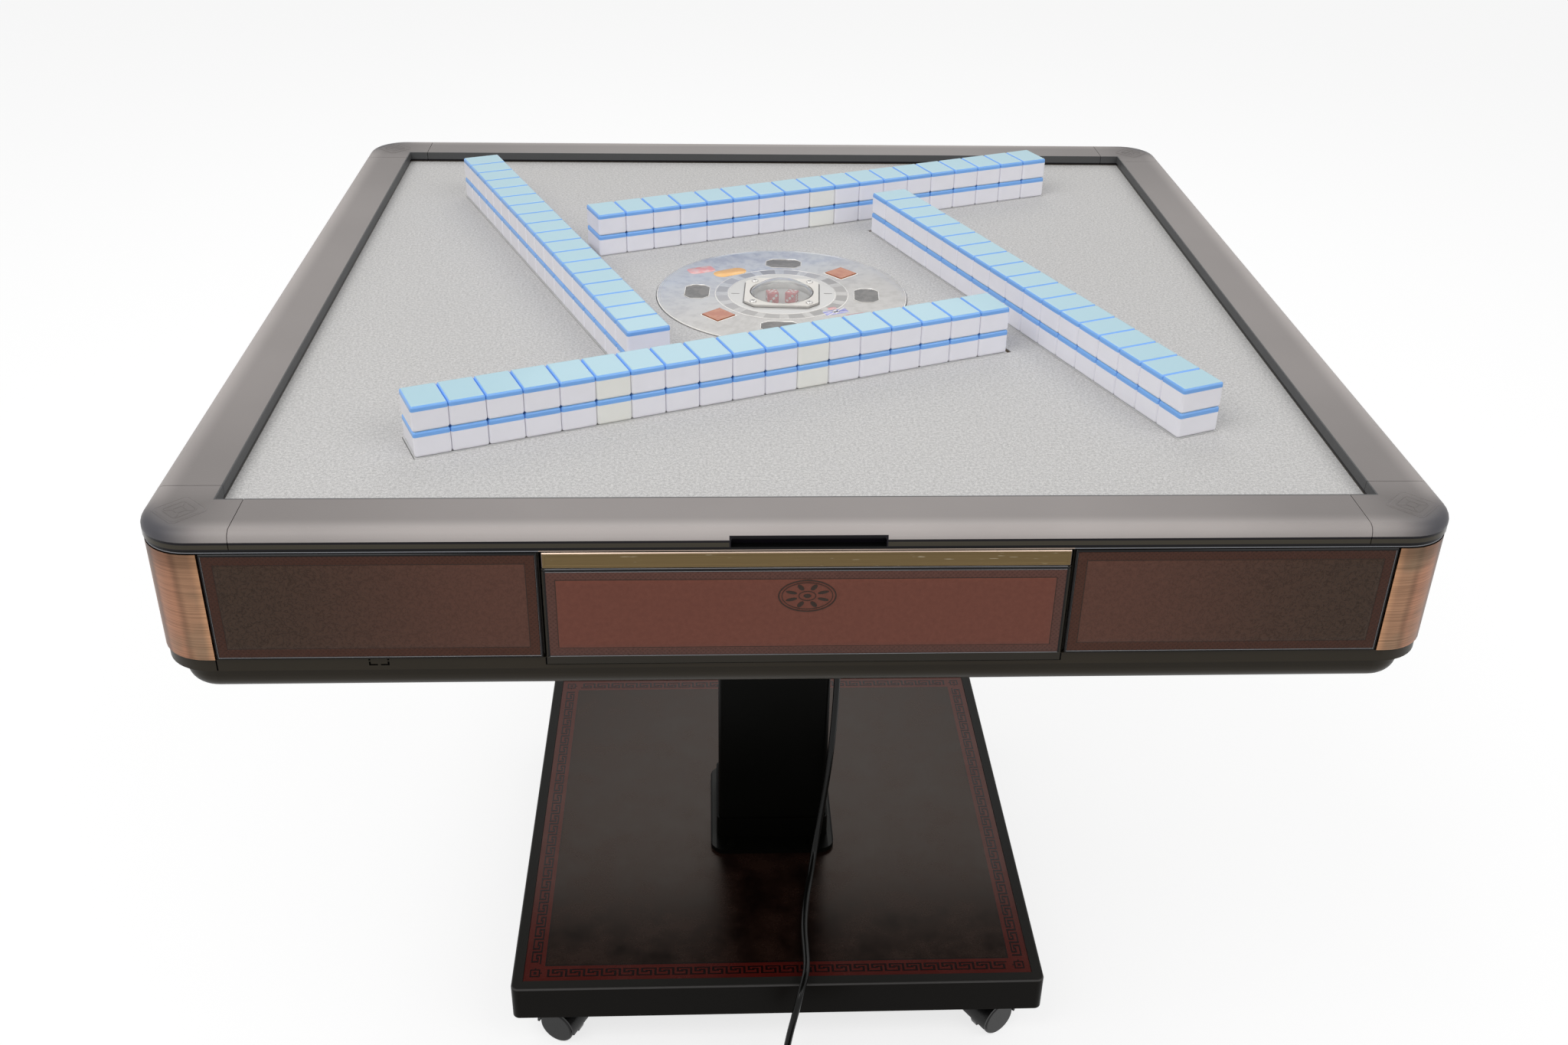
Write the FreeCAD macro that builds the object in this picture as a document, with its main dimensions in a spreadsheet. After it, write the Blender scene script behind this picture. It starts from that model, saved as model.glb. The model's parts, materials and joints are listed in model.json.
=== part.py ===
import FreeCAD, Part
import math
import os

import Sketcher

# An automatic mahjong table: a square machine body with a drawer on each side,
# on one column over a caster base. Millimetres, +Z up, the floor at Z = 0, the
# front towards -Y and the middle of the playing field at X = Y = 0.

V = FreeCAD.Vector
doc = FreeCAD.newDocument("mahjong_table")

# ---------------------------------------------------------------- sizes
# name, size in mm (or degrees, where the name says angle), what it is
SIZES = [
    # the whole
    ("rim_top", 790.0, "height of the rim above the floor"),
    ("rim_half", 480.0, "half the table's outside width"),
    ("rim_width", 50.0, "width of the rim"),
    ("rim_corner_radius", 40.0, "plan radius of the table's corners"),
    ("gap", 0.3, "clearance between pieces that move past each other"),
    ("running_gap", 0.05, "radial clearance of a shaft in its bore"),
    # rim
    ("rim_height", 14.3, "rim top to the case's flange"),
    ("rim_edge_radius", 8.0, "rounding of the rim's outer top edge"),
    ("rim_inner_radius", 2.0, "rounding of the rim's inner top edge"),
    ("rim_cap_reach", 70.0, "length of a corner cap along the rim"),
    ("rim_seam", 0.6, "seam between a corner cap and a rail"),
    ("recess_half", 56.0, "half the length of the finger recess"),
    ("recess_depth", 7.0, "depth of the finger recess into the rim"),
    ("recess_height", 9.0, "height of the finger recess"),
    ("recess_radius", 4.0, "rounding of the finger recess's upper ends"),
    # playing field
    ("felt_drop", 11.0, "rim top down to the felt"),
    ("felt_thick", 1.0, "felt"),
    ("board_thick", 7.2, "playing board"),
    ("board_lap", 8.0, "board and felt under the rim, each side"),
    # case
    ("case_depth", 144.8, "rim top down to the underside of the case"),
    ("sheet", 3.0, "floor and tray wall of the case"),
    ("tray_inset", 12.0, "lower tray behind the rim's edge"),
    ("tray_radius", 14.0, "rounding of the tray's bottom edge"),
    ("lip_inset", 2.0, "lip under the panels behind the rim's edge"),
    ("lip_height", 10.0, "height of that lip"),
    ("tray_height", 26.0, "underside of the case up to the lip"),
    ("wall_inset", 5.0, "case wall behind the rim's edge"),
    ("wall_thick", 4.0, "case wall"),
    ("flange_inset", 1.0, "top flange behind the rim's edge"),
    ("flange_thick", 3.2, "top flange"),
    ("ledge_width", 12.0, "ledge under the board"),
    ("ledge_thick", 3.8, "ledge under the board"),
    # panels, corner trims and drawers
    ("panel_gap", 0.7, "gap above and below the panels"),
    ("panel_thick", 4.5, "leather-covered panel"),
    ("trim_reach", 46.0, "length of a corner trim along each side"),
    ("trim_seam", 1.2, "seam between corner trim and panel"),
    ("trim_thick", 4.5, "corner trim"),
    ("drawer_half", 192.0, "half the width of a drawer front"),
    ("drawer_seam", 1.6, "seam beside a drawer front"),
    ("front_thick", 13.6, "drawer front"),
    ("strip_height", 13.0, "pull strip along the top of a drawer front"),
    ("bar_drop", 6.2, "lower bar of a drawer front, down over the lip"),
    ("strip_thick", 7.0, "pull strip"),
    ("box_half", 183.0, "half the width of a drawer box"),
    ("box_length", 114.0, "drawer box, front to back"),
    ("box_height", 67.0, "drawer box"),
    ("box_wall", 5.0, "drawer box wall"),
    ("box_floor", 4.0, "drawer box floor"),
    ("runner_height", 35.0, "runner ledge above the case floor"),
    ("runner_ledge", 11.0, "width of the runner ledge"),
    ("runner_side", 12.0, "runner side above its ledge"),
    # tiles and lifts, drawn with the wall of tiles along X, then turned
    ("tile_pitch", 30.0, "one stack of tiles to the next"),
    ("tile_length", 39.8, "tile, across the wall"),
    ("tile_play", 0.2, "air between two stacks"),
    ("tile_height", 22.0, "tile, lying face down"),
    ("tile_edge", 2.2, "rounding of a tile's edges"),
    ("wall_offset", 206.0, "centre of the table to a wall's outer side"),
    ("wall_lead", 130.0, "inner end of a wall past its nearest point"),
    ("platform_play", 0.5, "platform past the tiles, each way"),
    ("platform_thick", 3.0, "lift platform"),
    ("slot_end", 5.0, "slot past the tiles at its inner end"),
    ("slot_tail", 1.2, "slot past the tiles at its outer end"),
    ("slot_side", 1.0, "slot past the tiles at each side"),
    ("lift_travel", 53.0, "travel of the lifts"),
    ("leg_width", 30.0, "lift leg, along the wall"),
    ("leg_depth", 16.0, "lift leg, across the wall"),
    ("leg_spread", 190.0, "middle of the wall to a leg"),
    ("guide_wall", 4.2, "wall of a lift guide"),
    ("shelf_reach", 44.0, "outer side of the wall to the shelf's edge"),
    ("shelf_thick", 3.0, "shelf where the next row waits"),
    ("shelf_past", 20.0, "shelf past the inner end of the wall"),
    ("web_thick", 4.0, "web between guide and shelf"),
    # drum
    ("drum_radius", 146.0, "drum plate"),
    ("drum_floor", 48.0, "case floor up to the top of the drum plate"),
    ("drum_thick", 6.0, "drum plate"),
    ("skirt_radius", 105.0, "drive ring under the drum plate"),
    ("skirt_depth", 16.0, "drive ring under the drum plate"),
    ("skirt_thick", 4.0, "drive ring"),
    ("hub_radius", 40.0, "hub of the drum plate"),
    ("paddle_height", 3.0, "paddles on the drum plate"),
    ("paddle_width", 6.0, "paddles on the drum plate"),
    ("drum_wall_gap", 2.0, "drum plate to the drum wall"),
    ("drum_wall_thick", 3.0, "drum wall"),
    ("drum_wall_height", 119.8, "drum wall"),
    ("gate_width", 46.0, "gate in the drum wall"),
    ("wheel_radius", 18.0, "friction wheel of the drum motor"),
    ("wheel_width", 13.0, "friction wheel of the drum motor"),
    ("shaft_radius", 3.0, "motor shaft"),
    ("motor_radius", 17.0, "drum motor"),
    ("motor_height", 24.0, "drum motor"),
    ("lift_motor_length", 46.0, "lift motor, along the wall"),
    ("lift_motor_depth", 34.0, "lift motor, across the wall"),
    ("lift_motor_height", 44.0, "lift motor"),
    ("lift_motor_gap", 5.0, "lift motor to the lift's slot"),
    ("control_length", 120.0, "control box"),
    ("control_depth", 60.0, "control box"),
    ("control_height", 45.0, "control box"),
    ("control_inset", 60.0, "control box from the rim's edge, sideways"),
    # control disc
    ("disc_radius", 122.5, "control disc"),
    ("disc_rise", 0.8, "control disc above the felt"),
    ("disc_thick", 7.5, "plate of the control disc"),
    ("disc_gap", 0.6, "ring of air round the disc"),
    ("housing_radius", 60.0, "housing under the disc"),
    ("housing_height", 31.0, "housing under the disc"),
    ("disc_travel", 60.0, "travel of the disc"),
    ("post_radius", 14.0, "actuator rod"),
    ("actuator_radius", 28.0, "actuator body"),
    ("actuator_gap", 4.0, "actuator top to the housing"),
    ("actuator_floor", 3.0, "actuator's closed end"),
    ("post_clear", 2.0, "actuator rod above the closed end"),
    ("collar_thick", 4.0, "collar that carries the drum"),
    ("window_long", 35.0, "display window, along the disc's rim"),
    ("window_short", 23.0, "display window"),
    ("window_cut", 6.0, "cut corner of a display window"),
    ("window_thick", 3.0, "display window"),
    ("window_ring", 83.0, "disc centre to a display window"),
    ("button_side", 22.0, "side of a diamond button"),
    ("button_ring", 83.0, "disc centre to a button"),
    ("button_thick", 5.5, "diamond button"),
    ("button_rise", 1.0, "button above the disc"),
    ("button_travel", 1.5, "travel of a button"),
    ("button_play", 0.35, "air round a button"),
    ("bezel_half", 36.0, "half the width of the square bezel"),
    ("bezel_cut", 10.0, "cut corner of the bezel"),
    ("bezel_thick", 2.2, "bezel"),
    ("dome_radius", 31.0, "clear dome at its foot"),
    ("dome_height", 12.0, "clear dome"),
    ("dome_wall", 1.5, "clear dome"),
    ("dome_foot", 1.5, "straight foot of the dome"),
    ("dice_tray_radius", 28.0, "dice tray"),
    ("dice_tray_thick", 2.3, "dice tray"),
    ("spindle_radius", 4.0, "spindle of the dice tray"),
    ("spindle_length", 14.0, "spindle of the dice tray"),
    ("die_side", 11.0, "one die"),
    ("die_edge", 1.4, "rounding of a die"),
    ("die_spread", 9.5, "dice tray centre sideways to a die"),
    ("die_forward", 9.0, "dice tray centre forward to the dice"),
    # hinge between column and case
    ("hinge_back", 104.0, "hinge pin behind the table's middle"),
    ("hinge_drop", 25.0, "underside of the case down to the hinge pin"),
    ("pin_radius", 6.0, "hinge pin"),
    ("ear_radius", 11.0, "hinge ears round the pin"),
    ("ear_thick", 8.0, "hinge ear"),
    ("ear_inner", 40.0, "middle of the table to a fixed ear"),
    ("ear_side_gap", 1.5, "fixed ear to moving ear"),
    ("pin_past", 6.0, "hinge pin past the moving ears"),
    ("hinge_plate", 6.0, "plates of the hinge"),
    # column
    ("column_back", 40.0, "column and base behind the table's middle"),
    ("column_width", 126.0, "column, side to side"),
    ("column_depth", 104.0, "column, front to back"),
    ("column_wall", 3.0, "column"),
    ("column_edge", 6.0, "rounding of the column's edges"),
    ("boot_wall", 2.2, "sleeve of the column boot"),
    ("boot_height", 27.0, "sleeve of the column boot"),
    ("boot_play", 0.3, "column boot round the column"),
    ("foot_width", 145.0, "foot plate"),
    ("foot_depth", 156.0, "foot plate"),
    ("foot_thick", 6.0, "foot plate"),
    ("foot_corner", 18.0, "rounding of the foot plate"),
    ("bolt_radius", 3.0, "bolt through the foot plate"),
    ("bolt_head", 5.0, "bolt head radius"),
    ("bolt_head_height", 4.0, "bolt head"),
    ("bolt_length", 32.0, "bolt below its head"),
    ("bolt_side", 48.0, "bolts from the middle, sideways"),
    ("bolt_inset", 10.0, "bolts from the foot plate's front and back"),
    # base
    ("base_half", 285.0, "half the width of the base"),
    ("base_height", 42.0, "base frame"),
    ("base_corner", 8.0, "rounding of the base's corners"),
    ("frame_width", 12.0, "rim of the base frame round the board"),
    ("frame_edge", 2.5, "rounding of the base frame's top edge"),
    ("base_board_thick", 8.0, "base board"),
    ("base_board_drop", 1.0, "base board below the frame's top"),
    ("base_board_play", 0.3, "base board inside the frame"),
    ("base_ledge", 15.0, "ledge under the base board"),
    ("base_ledge_thick", 4.0, "ledge under the base board"),
    ("beam_width", 24.0, "cross beam"),
    ("beam_height", 25.0, "cross beam"),
    ("corner_plate", 70.0, "caster plate in a corner of the frame"),
    ("corner_plate_thick", 5.0, "caster plate"),
    ("socket_radius", 11.0, "caster socket"),
    ("socket_height", 26.0, "caster socket"),
    # casters
    ("caster_height", 52.0, "floor up to the base frame"),
    ("caster_inset", 38.0, "caster stem from the base's sides"),
    ("caster_wheel_radius", 20.0, "caster wheel"),
    ("caster_wheel_width", 13.0, "caster wheel"),
    ("caster_wheel_edge", 2.5, "rounding of a caster wheel"),
    ("caster_trail", 15.0, "caster stem to the axle"),
    ("caster_web", 8.0, "hood's web between the wheels"),
    ("caster_play", 0.6, "air between hood and wheels"),
    ("hood_thick", 2.2, "hood over the wheels"),
    ("hood_gap", 1.2, "hood to the wheels"),
    ("axle_radius", 3.0, "caster axle"),
    ("stem_radius", 5.5, "caster stem"),
    ("stem_length", 22.0, "caster stem above its collar"),
    ("collar_radius", 12.0, "caster collar"),
    ("collar_height", 4.5, "caster collar"),
    # mains lead
    ("cord_radius", 3.75, "mains lead"),
    ("gland_width", 18.0, "cable outlet, out from the column"),
    ("gland_depth", 24.0, "cable outlet, front to back"),
    ("gland_height", 42.0, "cable outlet"),
    ("gland_drop", 45.9, "column's top down to the cable outlet"),
    ("relief_length", 28.0, "strain relief"),
    ("relief_radius", 7.0, "strain relief at its thick end"),
    ("relief_tip", 5.0, "strain relief at its thin end"),
    ("coil_layers", 4.0, "layers of the coil, each two turns wide"),
    ("coil_middle", 41.25, "middle radius of the coil"),
    ("coil_x", 45.0, "coil's centre"),
    ("coil_front", 372.0, "coil's centre in front of the middle"),
    ("plug_length", 36.0, "plug body"),
    ("plug_width", 34.0, "plug body"),
    ("plug_height", 26.0, "plug body"),
    ("plug_edge", 5.0, "rounding of the plug body"),
    ("plug_pin_radius", 2.4, "plug pin"),
    ("plug_pin_length", 19.0, "plug pin"),
    ("plug_pin_spread", 9.5, "plug axis to a pin"),
]

WALL_ANGLE = 22.4          # degrees that the pinwheel of walls is turned by
DISC_ANGLE = -3.5          # degrees that the control disc is turned by
STACKS = 18                # stacks of tiles in a wall
PADDLES = 8                # paddles on the drum plate
SIDES = ["front", "right", "back", "left"]
# heading of each caster's trail, degrees from +X
CASTERS = {"front_left": -28.0, "front_right": 214.0, "back_left": 75.0, "back_right": 122.0}


class Size:
    """A length with its number and with its expression in cells of the sheet."""

    def __init__(self, number, text):
        self.number = number
        self.text = text

    def __float__(self):
        return float(self.number)

    def __add__(self, other):
        return Size(float(self) + float(other), "(%s + %s)" % (self.text, words(other)))

    def __radd__(self, other):
        return Size(float(other) + float(self), "(%s + %s)" % (words(other), self.text))

    def __sub__(self, other):
        return Size(float(self) - float(other), "(%s - %s)" % (self.text, words(other)))

    def __rsub__(self, other):
        return Size(float(other) - float(self), "(%s - %s)" % (words(other), self.text))

    def __mul__(self, other):
        return Size(float(self) * float(other), "(%s * %s)" % (self.text, words(other)))

    __rmul__ = __mul__

    def __truediv__(self, other):
        return Size(float(self) / float(other), "(%s / %s)" % (self.text, words(other)))

    def __neg__(self):
        return Size(-float(self), "(-%s)" % self.text)


def words(value):
    """The expression of a size or of a plain number."""
    return value.text if isinstance(value, Size) else "%.9g" % value


class Sheet:
    """The spreadsheet's cells, each as an attribute."""


sheet = doc.addObject("Spreadsheet::Sheet", "Sizes")
S = Sheet()
for row, (alias, number, note) in enumerate(SIZES, start=1):
    sheet.set("A%d" % row, note)
    sheet.set("B%d" % row, "%g" % number)
    sheet.setAlias("B%d" % row, alias)
    setattr(S, alias, Size(number, "Sizes." + alias))
doc.recompute()

# ---------------------------------------------------------------- building blocks
PLANES = {"Z": FreeCAD.Rotation(), "X": FreeCAD.Rotation(V(1, 1, 1), 120), "Y": FreeCAD.Rotation(V(1, 0, 0), 90)}


def bind(item, prop, size):
    """Tie a property to the sheet."""
    item.setExpression(prop, words(size))


def place(item, x, y, z):
    bind(item, "Placement.Base.x", x)
    bind(item, "Placement.Base.y", y)
    bind(item, "Placement.Base.z", z)
    return item


def box(name, x, y, z):
    """A box from the low and high end along each axis."""
    item = doc.addObject("Part::Box", name)
    bind(item, "Length", x[1] - x[0])
    bind(item, "Width", y[1] - y[0])
    bind(item, "Height", z[1] - z[0])
    return place(item, x[0], y[0], z[0])


def cylinder(name, radius, x, y, z, along="Z"):
    """A cylinder; the axis that it runs along gets its low and high end."""
    item = doc.addObject("Part::Cylinder", name)
    ends = {"X": x, "Y": y, "Z": z}[along]
    bind(item, "Radius", radius)
    bind(item, "Height", ends[1] - ends[0])
    turn = {"Z": FreeCAD.Rotation(), "X": FreeCAD.Rotation(V(0, 1, 0), 90), "Y": FreeCAD.Rotation(V(1, 0, 0), -90)}
    item.Placement.Rotation = turn[along]
    low = {"X": x, "Y": y, "Z": z}
    low[along] = ends[0]
    return place(item, low["X"], low["Y"], low["Z"])


def cone(name, low_radius, high_radius, x, y, z):
    item = doc.addObject("Part::Cone", name)
    bind(item, "Radius1", low_radius)
    bind(item, "Radius2", high_radius)
    bind(item, "Height", z[1] - z[0])
    return place(item, x, y, z[0])


def fuse(name, *parts):
    item = doc.addObject("Part::MultiFuse", name)
    item.Shapes = list(parts)
    return item


def cut(name, base, *tools):
    item = doc.addObject("Part::Cut", name)
    item.Base = base
    item.Tool = tools[0] if len(tools) == 1 else fuse(name + "_tools", *tools)
    return item


def common(name, base, tool):
    item = doc.addObject("Part::Common", name)
    item.Base = base
    item.Tool = tool
    return item


def group(name, *parts):
    item = doc.addObject("Part::Compound", name)
    item.Links = list(parts)
    return item


def prism(name, corners, ends, along="Z", offset=(0.0, 0.0)):
    """A PartDesign pad of an outline, every corner tied to the sheet.

    Along Z the outline lies in XY, along X in YZ, and along Y in X and Z.
    """
    body = doc.addObject("PartDesign::Body", name)
    plane = [part for part in body.Origin.OriginFeatures if part.Role == "XY_Plane"][0]
    sketch = body.newObject("Sketcher::SketchObject", name + "_outline")
    sketch.AttachmentSupport = (plane, [""])
    sketch.MapMode = "FlatFace"
    points = [V(float(a), float(b), 0) for a, b in corners]
    for index, point in enumerate(points):
        sketch.addGeometry(Part.LineSegment(point, points[(index + 1) % len(points)]), False)
    for index in range(len(points)):
        sketch.addConstraint(Sketcher.Constraint("Coincident", index, 2, (index + 1) % len(points), 1))
    for index, corner in enumerate(corners):
        for kind, value in zip(("DistanceX", "DistanceY"), corner):
            number = sketch.addConstraint(Sketcher.Constraint(kind, -1, 1, index, 1, float(value)))
            sketch.setExpression("Constraints[%d]" % number, words(value))
    pad = body.newObject("PartDesign::Pad", name + "_pad")
    pad.Profile = sketch
    bind(pad, "Length", ends[1] - ends[0])
    body.Placement.Rotation = PLANES[along]
    if along == "Y":
        # the pad runs towards -Y from its far end
        return place(body, offset[0], ends[1], offset[1])
    if along == "X":
        return place(body, ends[0], offset[0], offset[1])
    return place(body, offset[0], offset[1], ends[0])


def soften(body, radius, wanted):
    """A PartDesign fillet on the edges of a body that `wanted` picks."""
    doc.recompute()
    base = body.Tip
    names = ["Edge%d" % (n + 1) for n, edge in enumerate(base.Shape.Edges) if wanted(edge)]
    fillet = body.newObject("PartDesign::Fillet", body.Name + "_fillet")
    fillet.Base = (base, names)
    bind(fillet, "Radius", radius)
    return body


def upright(edge):
    return edge.BoundBox.ZLength > 1e-3 and edge.BoundBox.XLength < 1e-3 and edge.BoundBox.YLength < 1e-3


def block(name, half, radius, ends, back=0.0):
    """A square block with rounded upright edges; `half` is half its width."""
    corners = [(-half, -half), (half, -half), (half, half), (-half, half)]
    return soften(prism(name, corners, ends, offset=(0.0, back)), radius, upright)


def plain(name, half, ends, back=0.0):
    """A square block with sharp edges."""
    return box(name, (-half, half), (back - half, back + half), ends)


def turned(shape, degrees, centre=V(0, 0, 0)):
    copy = shape.copy()
    copy.rotate(centre, V(0, 0, 1), degrees)
    return copy


def four_times(name, source, start=0.0):
    """The same pieces on all four sides."""
    doc.recompute()
    item = doc.addObject("Part::Feature", name)
    item.Shape = Part.makeCompound([turned(source.Shape, start + 90.0 * side) for side in range(4)])
    return item


def copy_at(name, source, degrees):
    """A piece of one side, turned to another side."""
    doc.recompute()
    item = doc.addObject("Part::Feature", name)
    item.Shape = source.Shape.copy()
    item.Placement = FreeCAD.Placement(V(0, 0, 0), FreeCAD.Rotation(V(0, 0, 1), degrees)) * source.Shape.Placement
    return item


def drilled(name, source, shapes):
    """A piece with the given shapes taken out of it."""
    doc.recompute()
    item = doc.addObject("Part::Feature", name)
    item.Shape = source.Shape.cut(shapes)
    return item


NODES = {}


def node(name, item):
    """Hand a finished piece over under the name that it is known by."""
    item.Label = name
    NODES[name] = item
    return item


# ---------------------------------------------------------------- levels
felt_top = S.rim_top - S.felt_drop
board_top = felt_top - S.felt_thick
board_low = board_top - S.board_thick
case_low = S.rim_top - S.case_depth
floor_top = case_low + S.sheet
lip_low = case_low + S.tray_height
lip_top = lip_low + S.lip_height
flange_top = S.rim_top - S.rim_height
flange_low = flange_top - S.flange_thick
opening_half = S.rim_half - S.rim_width
board_half = opening_half + S.board_lap
panel_low = lip_top + S.panel_gap
panel_top = flange_low - S.panel_gap
base_top = S.caster_height + S.base_height
base_board_top = base_top - S.base_board_drop
foot_top = base_board_top + S.foot_thick
disc_top = felt_top + S.disc_rise
disc_low = disc_top - S.disc_thick
housing_low = disc_low - S.housing_height
pin_height = case_low - S.hinge_drop
hinge_top = case_low - S.hinge_plate
head_top = hinge_top - S.gap
column_top = head_top - S.hinge_plate

# ---------------------------------------------------------------- rim
rim_ring = soften(block("rim_block", S.rim_half, S.rim_corner_radius, (flange_top, S.rim_top)), S.rim_edge_radius,
                  lambda edge: edge.BoundBox.ZMin > float(S.rim_height) - 1e-3)
rim_hole = plain("rim_hole", opening_half, (flange_top - 1.0, S.rim_top + 1.0))
rim_seat = plain("rim_seat", board_half + S.gap, (flange_top - 1.0, felt_top))
rim_whole = cut("rim_whole", rim_ring, rim_hole, rim_seat)


def corner_zone(name, reach, half, ends):
    """The four corner squares of a square ring."""
    low = half - reach
    parts = []
    for side, (sx, sy) in enumerate([(1, 1), (-1, 1), (-1, -1), (1, -1)]):
        x = (low, half + 1.0) if sx > 0 else (-half - 1.0, -low)
        y = (low, half + 1.0) if sy > 0 else (-half - 1.0, -low)
        parts.append(box("%s_%d" % (name, side), x, y, ends))
    return fuse(name, *parts)


rim_span = (flange_top - 2.0, S.rim_top + 2.0)
node("rim_corners", common("rim_caps", rim_whole, corner_zone("cap_zone", S.rim_cap_reach, S.rim_half, rim_span)))
recess = soften(prism("recess_cut", [(-S.recess_half, -1.0), (S.recess_half, -1.0), (S.recess_half, S.recess_height),
                                     (-S.recess_half, S.recess_height)],
                      (-S.rim_half - 1.0, S.recess_depth - S.rim_half), along="Y", offset=(0.0, flange_top)),
                S.recess_radius,
                lambda edge: edge.BoundBox.YLength < 1e-3 and edge.BoundBox.XLength < 1e-3
                and edge.BoundBox.YMin > float(S.recess_height) - 1e-3)
recesses = four_times("recesses", recess)
node("rim_rails", cut("rails", rim_whole,
                      corner_zone("rail_zone", S.rim_cap_reach + S.rim_seam, S.rim_half, rim_span), recesses))

# ---------------------------------------------------------------- playing field
# The wall of tiles of the front lift is drawn along X at Y = -wall_offset and
# then turned by the angle of the pinwheel.
wall_end = S.wall_lead
wall_start = S.wall_lead - S.tile_pitch * STACKS
wall_outer = -S.wall_offset
wall_inner = S.tile_length - S.wall_offset
wall_middle = (wall_start + wall_end) / 2.0
slot = box("slot_cut", (wall_start - S.slot_tail, wall_end + S.slot_end),
           (wall_outer - S.slot_side, wall_inner + S.slot_side), (board_low - 1.0, felt_top + 1.0))
slots = four_times("slot_cuts", slot, WALL_ANGLE)
disc_hole = cylinder("disc_hole", S.disc_radius + S.disc_gap, 0.0, 0.0, (board_low - 2.0, felt_top + 2.0))
node("table_board", cut("board", plain("board_blank", board_half, (board_low, board_top)), slots, disc_hole))
node("felt", cut("felt_sheet", plain("felt_blank", board_half, (board_top, felt_top)), slots, disc_hole))

# ---------------------------------------------------------------- case
tray_half = S.rim_half - S.tray_inset
lip_half = S.rim_half - S.lip_inset
wall_half = S.rim_half - S.wall_inset
flange_half = S.rim_half - S.flange_inset
wall_room = wall_half - S.wall_thick
tray_room = tray_half - S.sheet
well_half = board_half + S.gap


def plan_radius(half):
    """Corner radius of a square that runs even with the rim's corners."""
    return S.rim_corner_radius - (S.rim_half - half)


tray = soften(block("tray", tray_half, plan_radius(tray_half), (case_low, lip_low)), S.tray_radius,
              lambda edge: edge.BoundBox.ZMax < 1e-3)
lip = block("lip", lip_half, plan_radius(lip_half), (lip_low, lip_top))
wall = block("wall", wall_half, plan_radius(wall_half), (lip_top, flange_low))
flange = block("flange", flange_half, plan_radius(flange_half), (flange_low, flange_top))
tray_hollow = soften(block("tray_hollow", tray_room, plan_radius(tray_room), (floor_top, lip_top)),
                     S.tray_radius - S.sheet, lambda edge: edge.BoundBox.ZMax < 1e-3)
wall_hollow = block("wall_hollow", wall_room, plan_radius(wall_room), (lip_top - S.sheet, flange_low))
well = plain("well", well_half, (flange_low - 1.0, flange_top + 1.0))
ledge_low = board_low - S.ledge_thick
ledge = cut("ledge", plain("ledge_blank", well_half + S.sheet, (ledge_low, flange_low)),
            plain("ledge_hole", board_half - S.ledge_width, (ledge_low - 1.0, flange_low + 1.0)),
            plain("ledge_well", well_half, (board_low, flange_low + 2.0)))
drawer_gap = S.drawer_half + S.drawer_seam
drawer_hole = box("drawer_hole", (-drawer_gap, drawer_gap), (-S.rim_half - 1.0, S.ledge_width - wall_room),
                  (lip_top, flange_low))
drawer_holes = four_times("drawer_holes", drawer_hole)
case_shell = cut("case_shell", fuse("case_block", tray, lip, wall, flange), tray_hollow, wall_hollow, well,
                 drawer_holes)
node("lower_case", fuse("case_whole", case_shell, ledge))

# ---------------------------------------------------------------- panels and corner trims
panel_start = S.drawer_half + S.drawer_seam * 1.5
panel_end = S.rim_half - S.trim_reach - S.trim_seam
panel_face = S.panel_thick + wall_half
panel_left = box("panel_left", (-panel_end, -panel_start), (-panel_face, -wall_half), (panel_low, panel_top))
panel_right = box("panel_right", (panel_start, panel_end), (-panel_face, -wall_half), (panel_low, panel_top))
node("side_panels", four_times("panels", group("panel_pair", panel_left, panel_right)))
trim_face = wall_half + S.trim_thick
trim_ring = cut("trim_ring", block("trim_outer", trim_face, plan_radius(trim_face), (panel_low, panel_top)),
                block("trim_inner", wall_half, plan_radius(wall_half), (panel_low - 1.0, panel_top + 1.0)))
node("corner_trims", common("trims", trim_ring,
                            corner_zone("trim_zone", S.trim_reach, S.rim_half, (panel_low - 2.0, panel_top + 2.0))))

# ---------------------------------------------------------------- drawers
front_back = S.front_thick - panel_face
strip_low = panel_top - S.strip_height
bar_low = panel_low - S.bar_drop
bar_back = -lip_half - S.gap
front_panel = prism("front_panel",
                    [(-panel_face, bar_low), (bar_back, bar_low), (bar_back, panel_low),
                     (front_back, panel_low), (front_back, panel_top),
                     (S.strip_thick - panel_face, panel_top), (S.strip_thick - panel_face, strip_low),
                     (-panel_face, strip_low)], (-S.drawer_half, S.drawer_half), along="X")
strip = box("pull_strip", (-S.drawer_half, S.drawer_half), (-panel_face, S.strip_thick - panel_face),
            (strip_low, panel_top))
drawer_front = group("drawer_face", front_panel, strip)
runner_top = floor_top + S.runner_height
box_low = runner_top + S.gap
box_back = front_back + S.box_length
box_blank = box("box_blank", (-S.box_half, S.box_half), (front_back, box_back), (box_low, box_low + S.box_height))
box_room = box("box_room", (S.box_wall - S.box_half, S.box_half - S.box_wall),
               (front_back + S.box_wall, box_back - S.box_wall), (box_low + S.box_floor, box_low + S.box_height + 1.0))
drawer_box = cut("drawer_tray", box_blank, box_room)
for side, word in enumerate(SIDES):
    node("drawer_front_" + word, copy_at("front_" + word, drawer_front, 90.0 * side))
    node("drawer_box_" + word, copy_at("box_" + word, drawer_box, 90.0 * side))

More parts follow.
